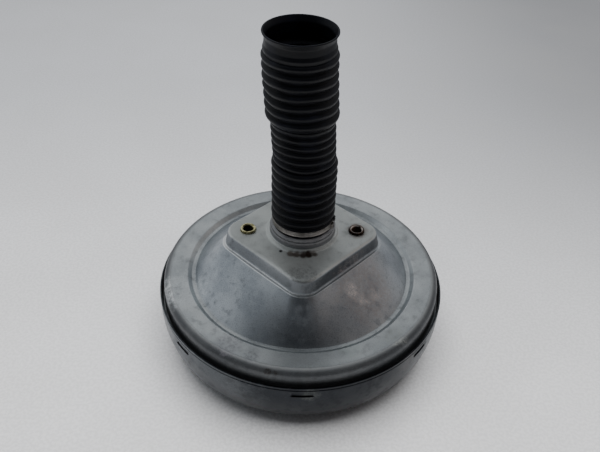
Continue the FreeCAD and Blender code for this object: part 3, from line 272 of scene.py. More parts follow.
def zinc_steel(name, pale, dark, blot_share, grain_share, zones, marks):
    """Zinc coated sheet: two-tone clouds, grain, blots, zones and marks that also paint shade and light.
    """
    # Clouds of 30 mm read as zinc crystals run together, blots of 6 mm as handling, grit and grain as
    # wear. The dome is stretched most by the drawing, which leaves it bluer than the ring.
    material, tree, shader, place = new_material(name, 1.0)
    clouds = add(tree, NOISE, {}, {"Vector": place, "Scale": 1 / (30 * MM), "Detail": 6.0}).outputs[0]
    blots = add(tree, NOISE, {}, {"Vector": place, "Scale": 1 / (6 * MM), "Detail": 6.0}).outputs[0]
    grain = add(tree, NOISE, {}, {"Vector": place, "Scale": 1 / (0.8 * MM), "Detail": 3.0}).outputs[0]
    grit = add(tree, NOISE, {}, {"Vector": place, "Scale": 1 / (2.4 * MM), "Detail": 5.0}).outputs[0]
    amount = add(tree, RANGE, SMOOTH, {0: clouds, 1: 0.36, 2: 0.64})
    tone = add(tree, MIX, COLOURS, {0: amount, 6: linear(pale), 7: linear(dark)}).outputs[2]
    amount = add(tree, RANGE, SMOOTH, {0: blots, 1: 0.56, 2: 0.7, 3: 0.0, 4: blot_share})
    tone = add(tree, MIX, COLOURS, {0: amount, 6: tone, 7: linear("#55554f")}).outputs[2]
    amount = add(tree, RANGE, SMOOTH, {0: blots, 1: 0.44, 2: 0.3, 3: 0.0, 4: 1.2 * blot_share})
    tone = add(tree, MIX, COLOURS, {0: amount, 6: tone, 7: linear("#d3d9d7")}).outputs[2]
    flat = add(tree, VECTORS, TIMES, {0: place, 1: (1, 1, 0)})
    reach = add(tree, VECTORS, {"operation": "LENGTH"}, {0: flat}).outputs["Value"]
    dome = add(tree, RANGE, SMOOTH, {0: reach, 1: 88 * MM, 2: 91 * MM, 3: 1.0, 4: 0.0}).outputs[0]
    amount = add(tree, MATH, TIMES, {0: dome, 1: 0.35})
    tone = add(tree, MIX, COLOURS, {0: amount, 6: tone, 7: linear("#a4abb8")}).outputs[2]
    amount = add(tree, RANGE, SMOOTH, {0: grain, 1: 0.5, 2: 0.66, 3: 0.0, 4: grain_share})
    tone = add(tree, MIX, COLOURS, {0: amount, 6: tone, 7: linear("#c4cac9")}).outputs[2]
    amount = add(tree, RANGE, SMOOTH, {0: grain, 1: 0.46, 2: 0.34, 3: 0.0, 4: grain_share})
    tone = add(tree, MIX, COLOURS, {0: amount, 6: tone, 7: linear("#4a4c4c")}).outputs[2]
    axes = add(tree, SPLIT, {}, {0: place}).outputs
    sideways, height = axes["X"], axes["Z"]
    shade_and_film = 0.0
    # Zones paint shade and highlights as bands of colour, and their dulling lowers the metallic.
    for measure, low, high, colour, left, right, dull in zones:
        value = reach if measure == "reach" else height
        soft = 0.15 * (high - low)
        first = add(tree, RANGE, SMOOTH, {0: value, 1: (low - soft) * MM, 2: (low + soft) * MM})
        second = add(tree, RANGE, SMOOTH,
                     {0: value, 1: (high - soft) * MM, 2: (high + soft) * MM, 3: 1.0, 4: 0.0})
        inside = add(tree, MATH, TIMES, {0: first, 1: second}).outputs[0]
        amount = add(tree, RANGE, SMOOTH, {0: blots, 1: 0.3, 2: 0.6, 3: 1.0, 4: 0.95})
        inside = add(tree, MATH, TIMES, {0: inside, 1: amount}).outputs[0]
        share = add(tree, RANGE, SMOOTH,
                    {0: sideways, 1: -12 * MM, 2: 12 * MM, 3: left, 4: right}).outputs[0]
        amount = add(tree, MATH, TIMES, {0: inside, 1: share})
        tone = add(tree, MIX, COLOURS, {0: amount, 6: tone, 7: linear(colour)}).outputs[2]
        amount = add(tree, MATH, TIMES, {0: add(tree, MATH, POWER, {0: inside, 1: 3.0}), 1: dull})
        shade_and_film = add(tree, MATH, PLUS, {0: shade_and_film, 1: amount}).outputs[0]
    tree.links.new(add(tree, MATH, MINUS, {0: 1.0, 1: shade_and_film}).outputs[0], shader.inputs["Metallic"])
    for centre, radius, colour, share, *even in marks:
        mask = spot(tree, place, [part * MM for part in centre], radius * MM, blots)
        if not even:
            amount = add(tree, RANGE, SMOOTH, {0: grit, 1: 0.38, 2: 0.6, 3: 0.4, 4: 1.0})
            mask = add(tree, MATH, TIMES, {0: mask, 1: amount}).outputs[0]
            amount = add(tree, RANGE, SMOOTH, {0: grain, 1: 0.38, 2: 0.58, 3: 0.35, 4: 1.0})
            mask = add(tree, MATH, TIMES, {0: mask, 1: amount}).outputs[0]
        amount = add(tree, MATH, TIMES, {0: mask, 1: share})
        tone = add(tree, MIX, COLOURS, {0: amount, 6: tone, 7: linear(colour)}).outputs[2]
    tree.links.new(tone, shader.inputs["Base Color"])
    rough = add(tree, RANGE, SMOOTH, {0: clouds, 1: 0.3, 2: 0.7, 3: 0.36, 4: 0.44}).outputs[0]
    amount = add(tree, RANGE, SMOOTH, {0: blots, 1: 0.5, 2: 0.7, 3: 0.0, 4: 0.12})
    rough = add(tree, MATH, PLUS, {0: rough, 1: amount}).outputs[0]
    amount = add(tree, RANGE, SMOOTH, {0: height, 1: 107 * MM, 2: 109 * MM, 3: 0.0, 4: 0.2})
    rough = add(tree, MATH, PLUS, {0: rough, 1: amount}).outputs[0]
    tree.links.new(rough, shader.inputs["Roughness"])
    amount = add(tree, MATH, PLUS, {0: grain, 1: add(tree, MATH, TIMES, {0: blots, 1: 2.0})})
    bump = add(tree, "ShaderNodeBump", {}, {"Height": amount, "Distance": 0.04 * MM})
    tree.links.new(bump.outputs[0], shader.inputs["Normal"])
    return material


print("zinc recipe ready")

# %% [markdown]
# Both shells are pressed from the same coated sheet, so one recipe is called twice: pale for the
# cover, with worn places and zones of painted shade and light, and dark for the bowl, a shaded copy of
# the same zinc with a few marks: painted shade over the whole bowl, and more over its front.

# %% Zinc of the cover and of the bowl
# Each zone has its reach or height in mm, its colour, its share on the left and on the right, and
# how far it dulls the metal. The zones paint light and shade: painted shade in the seam and on the
# side's roll, a painted lighter ring, painted shade on the plateau's wall, more on the right, and a
# painted highlight along the plateau's foot; then a lighter band over the plateau's top and a darker,
# duller collar. Then single marks with their centre and radius: a painted reflection on the dome's
# right front, brown with bright sparkles, painted shade on the plateau's front corner, rust below the
# collar and at the right bushing, stains on the ring. An even mark is a film, the others are broken
# up by the grain.
cover_zones = [
    # painted shade in the seam and on the side's roll, dulled
    ("reach", 110.2, 117.3, "#1b1c21", 0.92, 0.92, 0.60),
    # painted light: the flat ring made lighter
    ("reach", 91, 111, "#e3e7e8", 0.35, 0.35, 0.0),
    # painted shade on the plateau's wall, darker on the right
    ("height", 97.6, 107.5, "#2a2c30", 0.60, 0.95, 0.10),
    # painted highlight: a bright line along the plateau's foot
    ("height", 96.1, 97.3, "#f7f9f9", 0.85, 0.15, 0.0),
    ("height", 107.5, 111.5, "#eceee8", 0.65, 0.60, 0.0),
    ("height", 112.0, 125, "#6f6a69", 0.65, 0.65, 0.25),
]
cover_marks = [
    # painted reflection: a brown patch with bright sparkles on the dome's right front
    ((52, -46, 88), 34, "#a09692", 0.60),
    ((40, -50, 92), 9, "#f1ebe8", 0.75),
    ((50, -56, 88), 12, "#e9e1dd", 0.70),
    ((61, -46, 84), 9, "#e3dad5", 0.60),
    # painted shade on the plateau's front corner
    ((0, -60, 109), 22, "#707374", 0.55),
    ((-10, -30, 110), 3.8, "#6a5a4e", 0.75, "even"),
    ((-5, -31, 110), 4.0, "#5f4e42", 0.80, "even"),
    ((0, -31.5, 110), 4.0, "#46372c", 0.90, "even"),
    ((5, -31, 110), 4.0, "#3d2e24", 0.95, "even"),
    ((9, -30, 110), 3.6, "#57473c", 0.80, "even"),
    ((-17.5, -26.5, 110), 2.2, "#17171a", 0.95, "even"),
    ((45, 0, 109), 11, "#7a6a5e", 0.55, "even"),
    ((-26, -113, 67), 4, "#26221f", 1.0),
    ((-20, -114, 67), 3, "#26221f", 1.0),
    ((-55, -88, 69), 13, "#85828a", 0.60),
    ((-38, -98, 69), 9, "#7c7d84", 0.60),
    ((36, -92, 69), 12, "#b4bfbb", 0.45),
    ((70, -78, 69), 12, "#b0b4ae", 0.50),
    ((-98, -30, 69), 24, "#dfe4e6", 0.60),
]
bowl_marks = [
    # painted shade: a wide even darkening over the bowl's front
    ((30, -125, 28), 112, "#202226", 0.90, "even"),
    ((6, -120, 50), 9, "#5a5d5a", 0.60),
    ((-70, -95, 48), 20, "#54585b", 0.60),
    ((-104, -60, 42), 28, "#6c7073", 0.65),
    ((84, -86, 50), 12, "#5a5856", 0.50),
]
cover_zinc = zinc_steel("zinc_coated_cover_steel", "#c2c7c8", "#a5abae", 0.24, 0.30,
                        cover_zones, cover_marks)
# The bowl is the cover's zinc made darker: painted shade over the whole bowl.
shaded_bowl_zinc = zinc_steel("zinc_bowl_steel_painted_shade", "#54575a", "#43464a", 0.05, 0.08, [], bowl_marks)
print("materials:", cover_zinc.name, shaded_bowl_zinc.name)

# %% [markdown]
# The boot is moulded black rubber with a slight bloom, a dry grey dust that ageing brings to the
# surface. It is dark and satin: a low specular base, a fine moulded grain, and dust that lightens
# it in clouds.

# %% Moulded black rubber
def moulded_rubber(name, body, dust, rough):
    """Black rubber with bloom in clouds and a moulded grain."""
    material, tree, shader, place = new_material(name, 0.0)
    bloom = add(tree, NOISE, {}, {"Vector": place, "Scale": 1 / (16 * MM), "Detail": 4.0}).outputs[0]
    grain = add(tree, NOISE, {}, {"Vector": place, "Scale": 1 / (0.8 * MM), "Detail": 2.0}).outputs[0]
    amount = add(tree, RANGE, SMOOTH, {0: bloom, 1: 0.45, 2: 0.75})
    tone = add(tree, MIX, COLOURS, {0: amount, 6: linear(body), 7: linear(dust)}).outputs[2]
    tree.links.new(tone, shader.inputs["Base Color"])
    rough = add(tree, RANGE, SMOOTH, {0: bloom, 1: 0.3, 2: 0.7, 3: rough, 4: rough + 0.12}).outputs[0]
    tree.links.new(rough, shader.inputs["Roughness"])
    shader.inputs["Specular IOR Level"].default_value = 0.20
    bump = add(tree, "ShaderNodeBump", {}, {"Height": grain, "Distance": 0.05 * MM})
    tree.links.new(bump.outputs[0], shader.inputs["Normal"])
    return material


# The boot is nearly black and a little blue; the inner rubber is greyer and matt with talc
boot_rubber = moulded_rubber("bloomed_boot_rubber", "#07080c", "#0f1119", 0.40)
plain_rubber = moulded_rubber("plain_black_rubber", "#1d1d1e", "#2b2b2b", 0.60)
print("rubber:", boot_rubber.name)

# %% [markdown]
# Turned and pressed steel parts are bare or oiled, springs are drawn wire, and the plastic parts
# are moulded. Their colours differ, while the way to make them is one: a metal or plastic base, a
# cloudy tone and a fine grain, so one function serves for the small parts.

# %% Small parts
def small_part(name, metallic, pale, dark, rough, grain_size):
    """Plain finish with a cloudy tone and a fine grain."""
    material, tree, shader, place = new_material(name, metallic)
    clouds = add(tree, NOISE, {}, {"Vector": place, "Scale": 1 / (7 * MM), "Detail": 4.0}).outputs[0]
    amount = add(tree, RANGE, SMOOTH, {0: clouds, 1: 0.35, 2: 0.65})
    tone = add(tree, MIX, COLOURS, {0: amount, 6: linear(pale), 7: linear(dark)}).outputs[2]
    tree.links.new(tone, shader.inputs["Base Color"])
    rough = add(tree, RANGE, SMOOTH, {0: clouds, 1: 0.3, 2: 0.7, 3: rough, 4: rough + 0.1}).outputs[0]
    tree.links.new(rough, shader.inputs["Roughness"])
    amount = add(tree, NOISE, {}, {"Vector": place, "Scale": 1 / grain_size, "Detail": 2.0})
    bump = add(tree, "ShaderNodeBump", {}, {"Height": amount, "Distance": 0.02 * MM})
    tree.links.new(bump.outputs[0], shader.inputs["Normal"])
    return material


# Oil keeps pressed steel darker than turned steel, drawing leaves spring wire nearly black, and the
# clamp's stainless band has a dull warm tone. Nylon and phenolic are smooth, felt and foam are matt.
pressed_steel = small_part("oiled_pressed_steel", 1.0, "#9a9b9b", "#7c7d7e", 0.34, 1.2 * MM)
turned_steel = small_part("turned_steel", 1.0, "#b4b4b2", "#8f8f8e", 0.26, 0.5 * MM)
spring_steel = small_part("drawn_spring_steel", 1.0, "#6f7072", "#505154", 0.32, 0.6 * MM)
yellow_steel = small_part("yellow_passivated_steel", 1.0, "#c9b071", "#9c8148", 0.28, 0.8 * MM)
band_steel = small_part("dull_stainless_band", 1.0, "#9b9793", "#77736f", 0.30, 0.7 * MM)
black_nylon = small_part("moulded_black_nylon", 0.0, "#1f1f20", "#161617", 0.45, 0.6 * MM)
brown_phenolic = small_part("moulded_phenolic", 0.0, "#4a3727", "#3a2a1e", 0.42, 0.7 * MM)
grey_felt = small_part("pressed_filter_felt", 0.0, "#b5ae9d", "#8f897b", 0.95, 0.5 * MM)
dark_foam = small_part("open_silencer_foam", 0.0, "#303031", "#1f1f20", 0.95, 0.9 * MM)

finishes = {
    "front_shell": shaded_bowl_zinc, "rear_shell": cover_zinc, "boot_clamp": band_steel,
    "boot_bellows": boot_rubber, "boot_mouth": boot_rubber, "guide_bush": black_nylon,
    "valve_body": brown_phenolic, "check_valve_body": black_nylon, "filter_cap": black_nylon,
    "air_filter": grey_felt, "silencer": dark_foam,
    "front_bushings": yellow_steel, "rear_bushings": yellow_steel, "lock_nut": yellow_steel,
    "output_rod": turned_steel, "output_tip_screw": turned_steel, "air_valve_plunger": turned_steel,
    "input_rod": turned_steel, "clevis": turned_steel,
    "return_spring": spring_steel, "rod_return_spring": spring_steel, "poppet_spring": spring_steel,
    "check_valve_spring": spring_steel,
    "front_reinforcement": pressed_steel, "rear_reinforcement": pressed_steel,
    "support_plate": pressed_steel, "spring_seat": pressed_steel, "stop_key": pressed_steel,
    "output_rod_retainer": pressed_steel, "poppet_retainer": pressed_steel,
    "poppet_insert": pressed_steel,
    "diaphragm": plain_rubber, "shaft_seal": plain_rubber, "reaction_disc": plain_rubber,
    "poppet": plain_rubber, "poppet_bellow": plain_rubber, "check_valve_grommet": plain_rubber,
    "check_valve_seat": plain_rubber, "check_valve_disc": plain_rubber,
}
for name, node in nodes.items():
    node.data.materials.clear()
    node.data.materials.append(finishes[name])
print("finished nodes:", len(finishes))

# %% [markdown]
# Every shell, band and cuff here is a sheet bent along an outline. An outline is a short list of
# corners, each with its radius, its height and its own rounding, and a function turns it into
# points: a few on each straight run and a few on each arc. A profile that changes round the part
# gives one outline for each angle, always with the same number of points, so that they join up.

# %% Outlines
def rounded(corners, arc_steps, run_steps):
    """Points along (r, z, rounding) corners, with the same count for any sizes."""
    points = []
    spots = [Vector(corner[:2]) for corner in corners]
    start = spots[0]
    for index in range(1, len(spots)):
        here = spots[index]
        last = index == len(spots) - 1
        arc = []
        end = here
        if not last and corners[index][2] > 0:
            back = (spots[index - 1] - here).normalized()
            on = (spots[index + 1] - here).normalized()
            half = max(back.angle(on) / 2, 0.01)
            reach = corners[index][2] / math.tan(half)
            centre = here + (back + on).normalized() * corners[index][2] / math.sin(half)
            first = here + back * reach - centre
            final = here + on * reach - centre
            turn = math.atan2(first.x * final.y - first.y * final.x, first.dot(final))
            for step in range(arc_steps + 1):
                arc.append(centre + Matrix.Rotation(turn * step / arc_steps, 2) @ first)
            end = arc[0]
        for step in range(run_steps):
            points.append(start.lerp(end, step / run_steps))
        points += arc[:-1]
        start = arc[-1] if arc else here
    points.append(start)
    return points


def offset(corners, distance):
    """The same corners moved sideways to the left, with concentric roundings."""
    sides = []
    for first, last in zip(corners, corners[1:]):
        run = (Vector(last[:2]) - Vector(first[:2])).normalized()
        sides.append(Vector((-run.y, run.x)))
    moved = []
    for index, (r, z, rounding) in enumerate(corners):
        first = sides[max(index - 1, 0)]
        last = sides[min(index, len(sides) - 1)]
        shift = (first + last) * distance / (1 + first.dot(last))
        left_turn = first.x * last.y > first.y * last.x
        wider = -distance if left_turn else distance
        moved.append((r + shift.x, z + shift.y, max(rounding + wider, 0)))
    return moved


print("outline helpers ready")

# %% [markdown]
# A sheet metal or rubber piece is the skin between such outlines, set round the axis. Joining the
# rows of points by hand keeps the walls exact, where a modifier would round them. Holes are cut
# afterwards with plain cylinders, because a Boolean gives them clean edges.

# %% Skins and cuts
def skin(name, loops, material):
    """Closed mesh through closed loops of points, one loop for each angle round the part."""
    mesh = bpy.data.meshes.new(name)
    count = len(loops[0])
    points = [point for loop in loops for point in loop]
    faces = []
    for loop in range(len(loops)):
        after = (loop + 1) % len(loops)
        for at in range(count):
            to = (at + 1) % count
            here, there = loop * count, after * count
            faces.append((here + at, there + at, there + to, here + to))
    mesh.from_pydata(points, [], faces)
    mesh.materials.append(material)
    shell = bmesh.new()
    shell.from_mesh(mesh)
    bmesh.ops.remove_doubles(shell, verts=shell.verts, dist=0.002 * MM)
    bmesh.ops.recalc_face_normals(shell, faces=shell.faces)
    for face in shell.faces:
        face.smooth = True
    shell.to_mesh(mesh)
    shell.free()
    piece = bpy.data.objects.new(name, mesh)
    bpy.context.scene.collection.objects.link(piece)
    return piece


def around(outline, angle, lean=0.0):
    """An (r, z) outline as points in space at one angle."""
    return [(p.x * math.cos(angle) + lean, p.x * math.sin(angle), p.y) for p in outline]


def drilled(piece, cutter, operation="DIFFERENCE"):
    """Keep what lies outside a cutter, or inside it with INTERSECT; the cutter is removed."""
    modifier = piece.modifiers.new("cut", "BOOLEAN")
    modifier.operation = operation
    modifier.solver = "EXACT"
    modifier.object = cutter
    graph = bpy.context.evaluated_depsgraph_get()
    mesh = bpy.data.meshes.new_from_object(piece.evaluated_get(graph))
    piece.modifiers.clear()
    piece.data = mesh
    bpy.data.objects.remove(cutter)


def cylinders(name, radius, length, places, axis):
    """Several closed cylinders in one mesh, centred on places, along axis."""
    # A small twist keeps their corners off the piece's own points, where a cut can leave a gap
    body = bmesh.new()
    turn = Vector((0, 0, 1)).rotation_difference(Vector(axis)).to_matrix().to_4x4()
    turn = turn @ Matrix.Rotation(math.radians(1.3), 4, "Z")
    for place in places:
        matrix = Matrix.Translation(place) @ turn
        bmesh.ops.create_cone(body, cap_ends=True, segments=64, radius1=radius, radius2=radius,
                              depth=length, matrix=matrix)
    mesh = bpy.data.meshes.new(name)
    body.to_mesh(mesh)
    body.free()
    piece = bpy.data.objects.new(name, mesh)
    bpy.context.scene.collection.objects.link(piece)
    return piece


print("skin helpers ready")

# %% [markdown]
# The rear shell is one pressing. From outside in it has a flange, a side, a flat ring, a narrow
# valley, a dome, a square plateau turned by 45 degrees, and a collar. Only the dome is hard: it
# starts as a circle and ends as a rounded square. In polar form that is easy, because each angle
# has one straight flank from the circle's radius to the square's, and a rounding at both ends. A small
# ledge goes round the plateau's foot, and a step lifts the collar out of the plateau, as the press
# left them.

# %% Outline of the rear shell
rim_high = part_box("front_shell")[1]
cover_low, cover_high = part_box("rear_shell")
bush_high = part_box("rear_bushings")[1]
SHEET = 1.6 * MM
RIM_R = rim_high.x
RIM_Z = rim_high.z
FLANGE_R = cover_high.x
FLANGE_Z = cover_low.z + SHEET
SIDE_R = RIM_R - SHEET - 2.4 * MM
RING_Z = RIM_Z + 12 * MM
VALLEY_Z = RING_Z - 3 * MM
FOOT_Z = VALLEY_Z + 31 * MM
PLATEAU_Z = FOOT_Z + 12 * MM
COLLAR_R = 26.75 * MM
COLLAR_Z = cover_high.z
FOOT_HALF, FOOT_CORNER = 49 * MM, 15 * MM
TOP_HALF, TOP_CORNER = 46.8 * MM, 14 * MM


def square_reach(angle, half, corner):
    """Distance from the axis to the side of a rounded square whose corners face X and Y."""
    off = abs(angle % (math.pi / 2) - math.pi / 4)
    flat = half - corner
    if math.tan(off) * half <= flat:
        return half / math.cos(off)
    both = flat * (math.cos(off) + math.sin(off))
    return both + math.sqrt(both ** 2 - 2 * flat ** 2 + corner ** 2)


def cover_corners(angle):
    """Outer face of the rear shell at one angle, from the flange to the collar."""
    foot = square_reach(angle, FOOT_HALF, FOOT_CORNER)
    top = square_reach(angle, TOP_HALF, TOP_CORNER)
    return [
        (FLANGE_R, FLANGE_Z, 0),
        (SIDE_R, FLANGE_Z, 0.8 * MM),
        (SIDE_R, RING_Z, 6 * MM),
        (96 * MM, RING_Z, 1.5 * MM),
        (92.6 * MM, VALLEY_Z, 1.3 * MM),
        (89.6 * MM, VALLEY_Z, 0.7 * MM),
        (foot + 2.2 * MM, FOOT_Z - 0.4 * MM, 0.6 * MM),
        (foot + 0.2 * MM, FOOT_Z - 0.5 * MM, 0.5 * MM),
        (top, PLATEAU_Z, 3.2 * MM),
        (COLLAR_R + 2.6 * MM, PLATEAU_Z, 2.0 * MM),
        (COLLAR_R + 1.6 * MM, PLATEAU_Z + 1.6 * MM, 0.7 * MM),
        (COLLAR_R, PLATEAU_Z + 2.0 * MM, 0.8 * MM),
        (COLLAR_R - 0.2 * MM, COLLAR_Z, 0),
    ]


for name, angle in (("side", math.pi / 4), ("corner", 0)):
    print("flank ends at", name, round(square_reach(angle, FOOT_HALF, FOOT_CORNER) / MM, 1), "mm")

# %% [markdown]
# The cover itself is that outline at 480 angles, with a second one inside it, a sheet's thickness
# away. The two holes for the bushings are cut through the plateau.

# %% Rear shell
COVER_ANGLES = 480
BUSH_HEAD_R = 8.15 * MM
BUSH_HOLE_R = 6.2 * MM

loops = []
for step in range(COVER_ANGLES):
    angle = 2 * math.pi * step / COVER_ANGLES
    corners = cover_corners(angle)
    outside = rounded(corners, 7, 4)
    inside = rounded(offset(corners, SHEET), 2, 1)
    loops.append(around(outside + inside[::-1], angle))
cover = skin("rear_shell_pressing", loops, cover_zinc)
bush_x = bush_high.x - BUSH_HEAD_R
spots = [(side * bush_x, 0, PLATEAU_Z) for side in (-1, 1)]
drilled(cover, cylinders("bushing_holes", BUSH_HOLE_R, 8 * MM, spots, (0, 0, 1)))
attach(cover, "housing")
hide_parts("rear_shell")
print("rear shell:", len(cover.data.polygons), "faces, bushings at", round(bush_x / MM, 2))

# %% [markdown]
# The front shell is a deep-drawn bowl with a raised pad below and a plain cut rim. Seven lances in
# its rim are slit and pressed inwards, where they hold the rear shell's flange. A drawn boss on its
# far side carries the check valve. The bowl is one outline turned round the axis; the presses and
# the boss are small moves of its points, and only the slits and the holes are cut.

# %% Lances and boss of the front shell
LANCES = 7
LANCE_MIDDLE = math.radians(-90)
LANCE_HALF = 8 * MM / RIM_R
SLIT_LOW = RIM_Z - 9.6 * MM
SLIT_HIGH = SLIT_LOW + 0.5 * MM
LANCE_HIGH = SLIT_LOW + 4.5 * MM
LANCE_PRESS = 0.8 * MM
valve_low, valve_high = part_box("check_valve_body")
BOSS_Z = (valve_low.z + valve_high.z) / 2
BOSS_R = 13 * MM
BOSS_SOFT = 3.5 * MM
BOSS_FACE = RIM_R + 0.6 * MM


def eased(value):
    """Zero to one with soft ends."""
    value = min(max(value, 0), 1)
    return value * value * (3 - 2 * value)


def lance_press(angle, z):
    """How far the rim band is pressed in at a lance."""
    if z <= SLIT_LOW + 0.3 * MM:
        return 0.0
    spacing = 2 * math.pi / LANCES
    off = abs((angle - LANCE_MIDDLE + spacing / 2) % spacing - spacing / 2)
    side = eased((LANCE_HALF - off) * RIM_R / MM + 0.5)
    return LANCE_PRESS * side * eased((LANCE_HIGH - z) / (1.6 * MM) + 0.3)


def bowl_point(r, angle, z, outer):
    """One point of the bowl with the lance and the boss."""
    r = r - (lance_press(angle, z) if r > SIDE_R else 0)
    x, y = r * math.cos(angle), r * math.sin(angle)
    face = BOSS_FACE if outer else BOSS_FACE - SHEET
    if y > 0 and r > 100 * MM and face > y - 3 * MM:
        painted_falloff = math.hypot(x, z - BOSS_Z)
        y += (face - y) * eased((BOSS_R + BOSS_SOFT - painted_falloff) / BOSS_SOFT)
    return (x, y, z)


print("lances:", LANCES, "boss at", round(BOSS_Z / MM, 1), "mm")

# %% [markdown]
# The bowl's own outline goes from the edge of the pilot opening over the raised pad, round the foot
# and up the rim, with a fine groove below the edge, which the drawing die leaves. Points that lie on
# the slits' edges are kept there, so that the cuts are clean.

# %% Front shell
BOWL_ANGLES = 504
VALVE_HOLE_R = 9 * MM
FRONT_BUSH_X = 40 * MM

bowl_corners = [
    (20 * MM, 0, 0), (54 * MM, 0, 3.5 * MM), (63 * MM, 14 * MM, 3.5 * MM),
    (113.2 * MM, 14 * MM, 10 * MM), (RIM_R, 33 * MM, 74 * MM), (RIM_R, SLIT_LOW, 0),
    (RIM_R, SLIT_HIGH, 0), (RIM_R, LANCE_HIGH, 0), (RIM_R, RIM_Z - 3.1 * MM, 0),
    (RIM_R - 0.45 * MM, RIM_Z - 2.5 * MM, 0.2 * MM), (RIM_R, RIM_Z - 1.9 * MM, 0.1 * MM),
    (RIM_R, RIM_Z, 0.4 * MM), (RIM_R - SHEET / 2, RIM_Z, 0),
]
bowl_inner = offset(bowl_corners[:8], SHEET)
bowl_inner += [(RIM_R - SHEET, RIM_Z, 0.45 * MM), (RIM_R - SHEET / 2, RIM_Z, 0)]
outside = rounded(bowl_corners, 10, 5)
inside = rounded(bowl_inner, 6, 3)[:-1]
loops = []
for step in range(BOWL_ANGLES):
    angle = 2 * math.pi * step / BOWL_ANGLES
    outer_points = [bowl_point(p.x, angle, p.y, True) for p in outside]
    inner_points = [bowl_point(p.x, angle, p.y, False) for p in inside[::-1]]
    loops.append(outer_points + inner_points)
bowl = skin("front_shell_drawing", loops, shaded_bowl_zinc)


def lance_slits():
    """Seven curved wedges that cut the slits."""
    inner, outer = RIM_R - 4 * MM, RIM_R + 2 * MM
    section = [Vector((inner, SLIT_LOW)), Vector((outer, SLIT_LOW)),
               Vector((outer, SLIT_HIGH)), Vector((inner, SLIT_HIGH))]
    body = bmesh.new()
    for lance in range(LANCES):
        middle = LANCE_MIDDLE + 2 * math.pi * lance / LANCES
        rings = []
        for step in range(9):
            angle = middle + LANCE_HALF * (step / 4 - 1)
            rings.append([body.verts.new(point) for point in around(section, angle)])
        for first, last in zip(rings, rings[1:]):
            for side in range(4):
                body.faces.new((first[side], last[side], last[side - 3], first[side - 3]))
        body.faces.new(rings[0][::-1])
        body.faces.new(rings[-1])
    bmesh.ops.recalc_face_normals(body, faces=body.faces)
    mesh = bpy.data.meshes.new("lance_slits")
    body.to_mesh(mesh)
    body.free()
    piece = bpy.data.objects.new("lance_slits", mesh)
    bpy.context.scene.collection.objects.link(piece)
    return piece


drilled(bowl, lance_slits())
drilled(bowl, cylinders("valve_hole", VALVE_HOLE_R, 10 * MM, [(0, BOSS_FACE, BOSS_Z)], (0, 1, 0)))
spots = [(side * FRONT_BUSH_X, 0, 0) for side in (-1, 1)]
drilled(bowl, cylinders("front_holes", BUSH_HOLE_R, 8 * MM, spots, (0, 0, 1)))
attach(bowl, "housing")
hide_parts("front_shell")
print("front shell:", len(bowl.data.polygons), "faces")

# %% [markdown]
# The boot's folds repeat by a rule, so Geometry Nodes make them. A flat grid is wrapped into a tube
# whose radius follows the fold's shape, out to the crest and sharply back to the notch, and then
# down again inside, one wall thinner, to close it. The boot leans a little to the left, as the real
# one stands, and a slight noise keeps it from looking machined. Three runs have their own sizes.

# %% Sizes of the boot
mouth_low, mouth_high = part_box("boot_mouth")
SLEEVE_R = 22.3 * MM
BOOT_WALL = 0.8 * MM
LEAN = -5.9 * MM
LEAN_LOW = RIM_Z + 106 * MM
LEAN_HIGH = RIM_Z + 215 * MM
FOLD_ROWS = 14
FOLD_ANGLES = 161


def lean_at(z):
    """Sideways lean of the boot at one height."""
    return LEAN * eased((z - LEAN_LOW) / (LEAN_HIGH - LEAN_LOW))


print("lean at the mouth:", round(lean_at(mouth_high.z) / MM, 1), "mm")

# %% [markdown]
# The tree reads a grid's own place as an angle and a row. The rows first climb the outside, then
# come back down inside, and the last one shuts the foot. Within each fold a power of the sine gives
# a full crest and a sharp notch. The noise is read round a circle, so that it joins up behind.

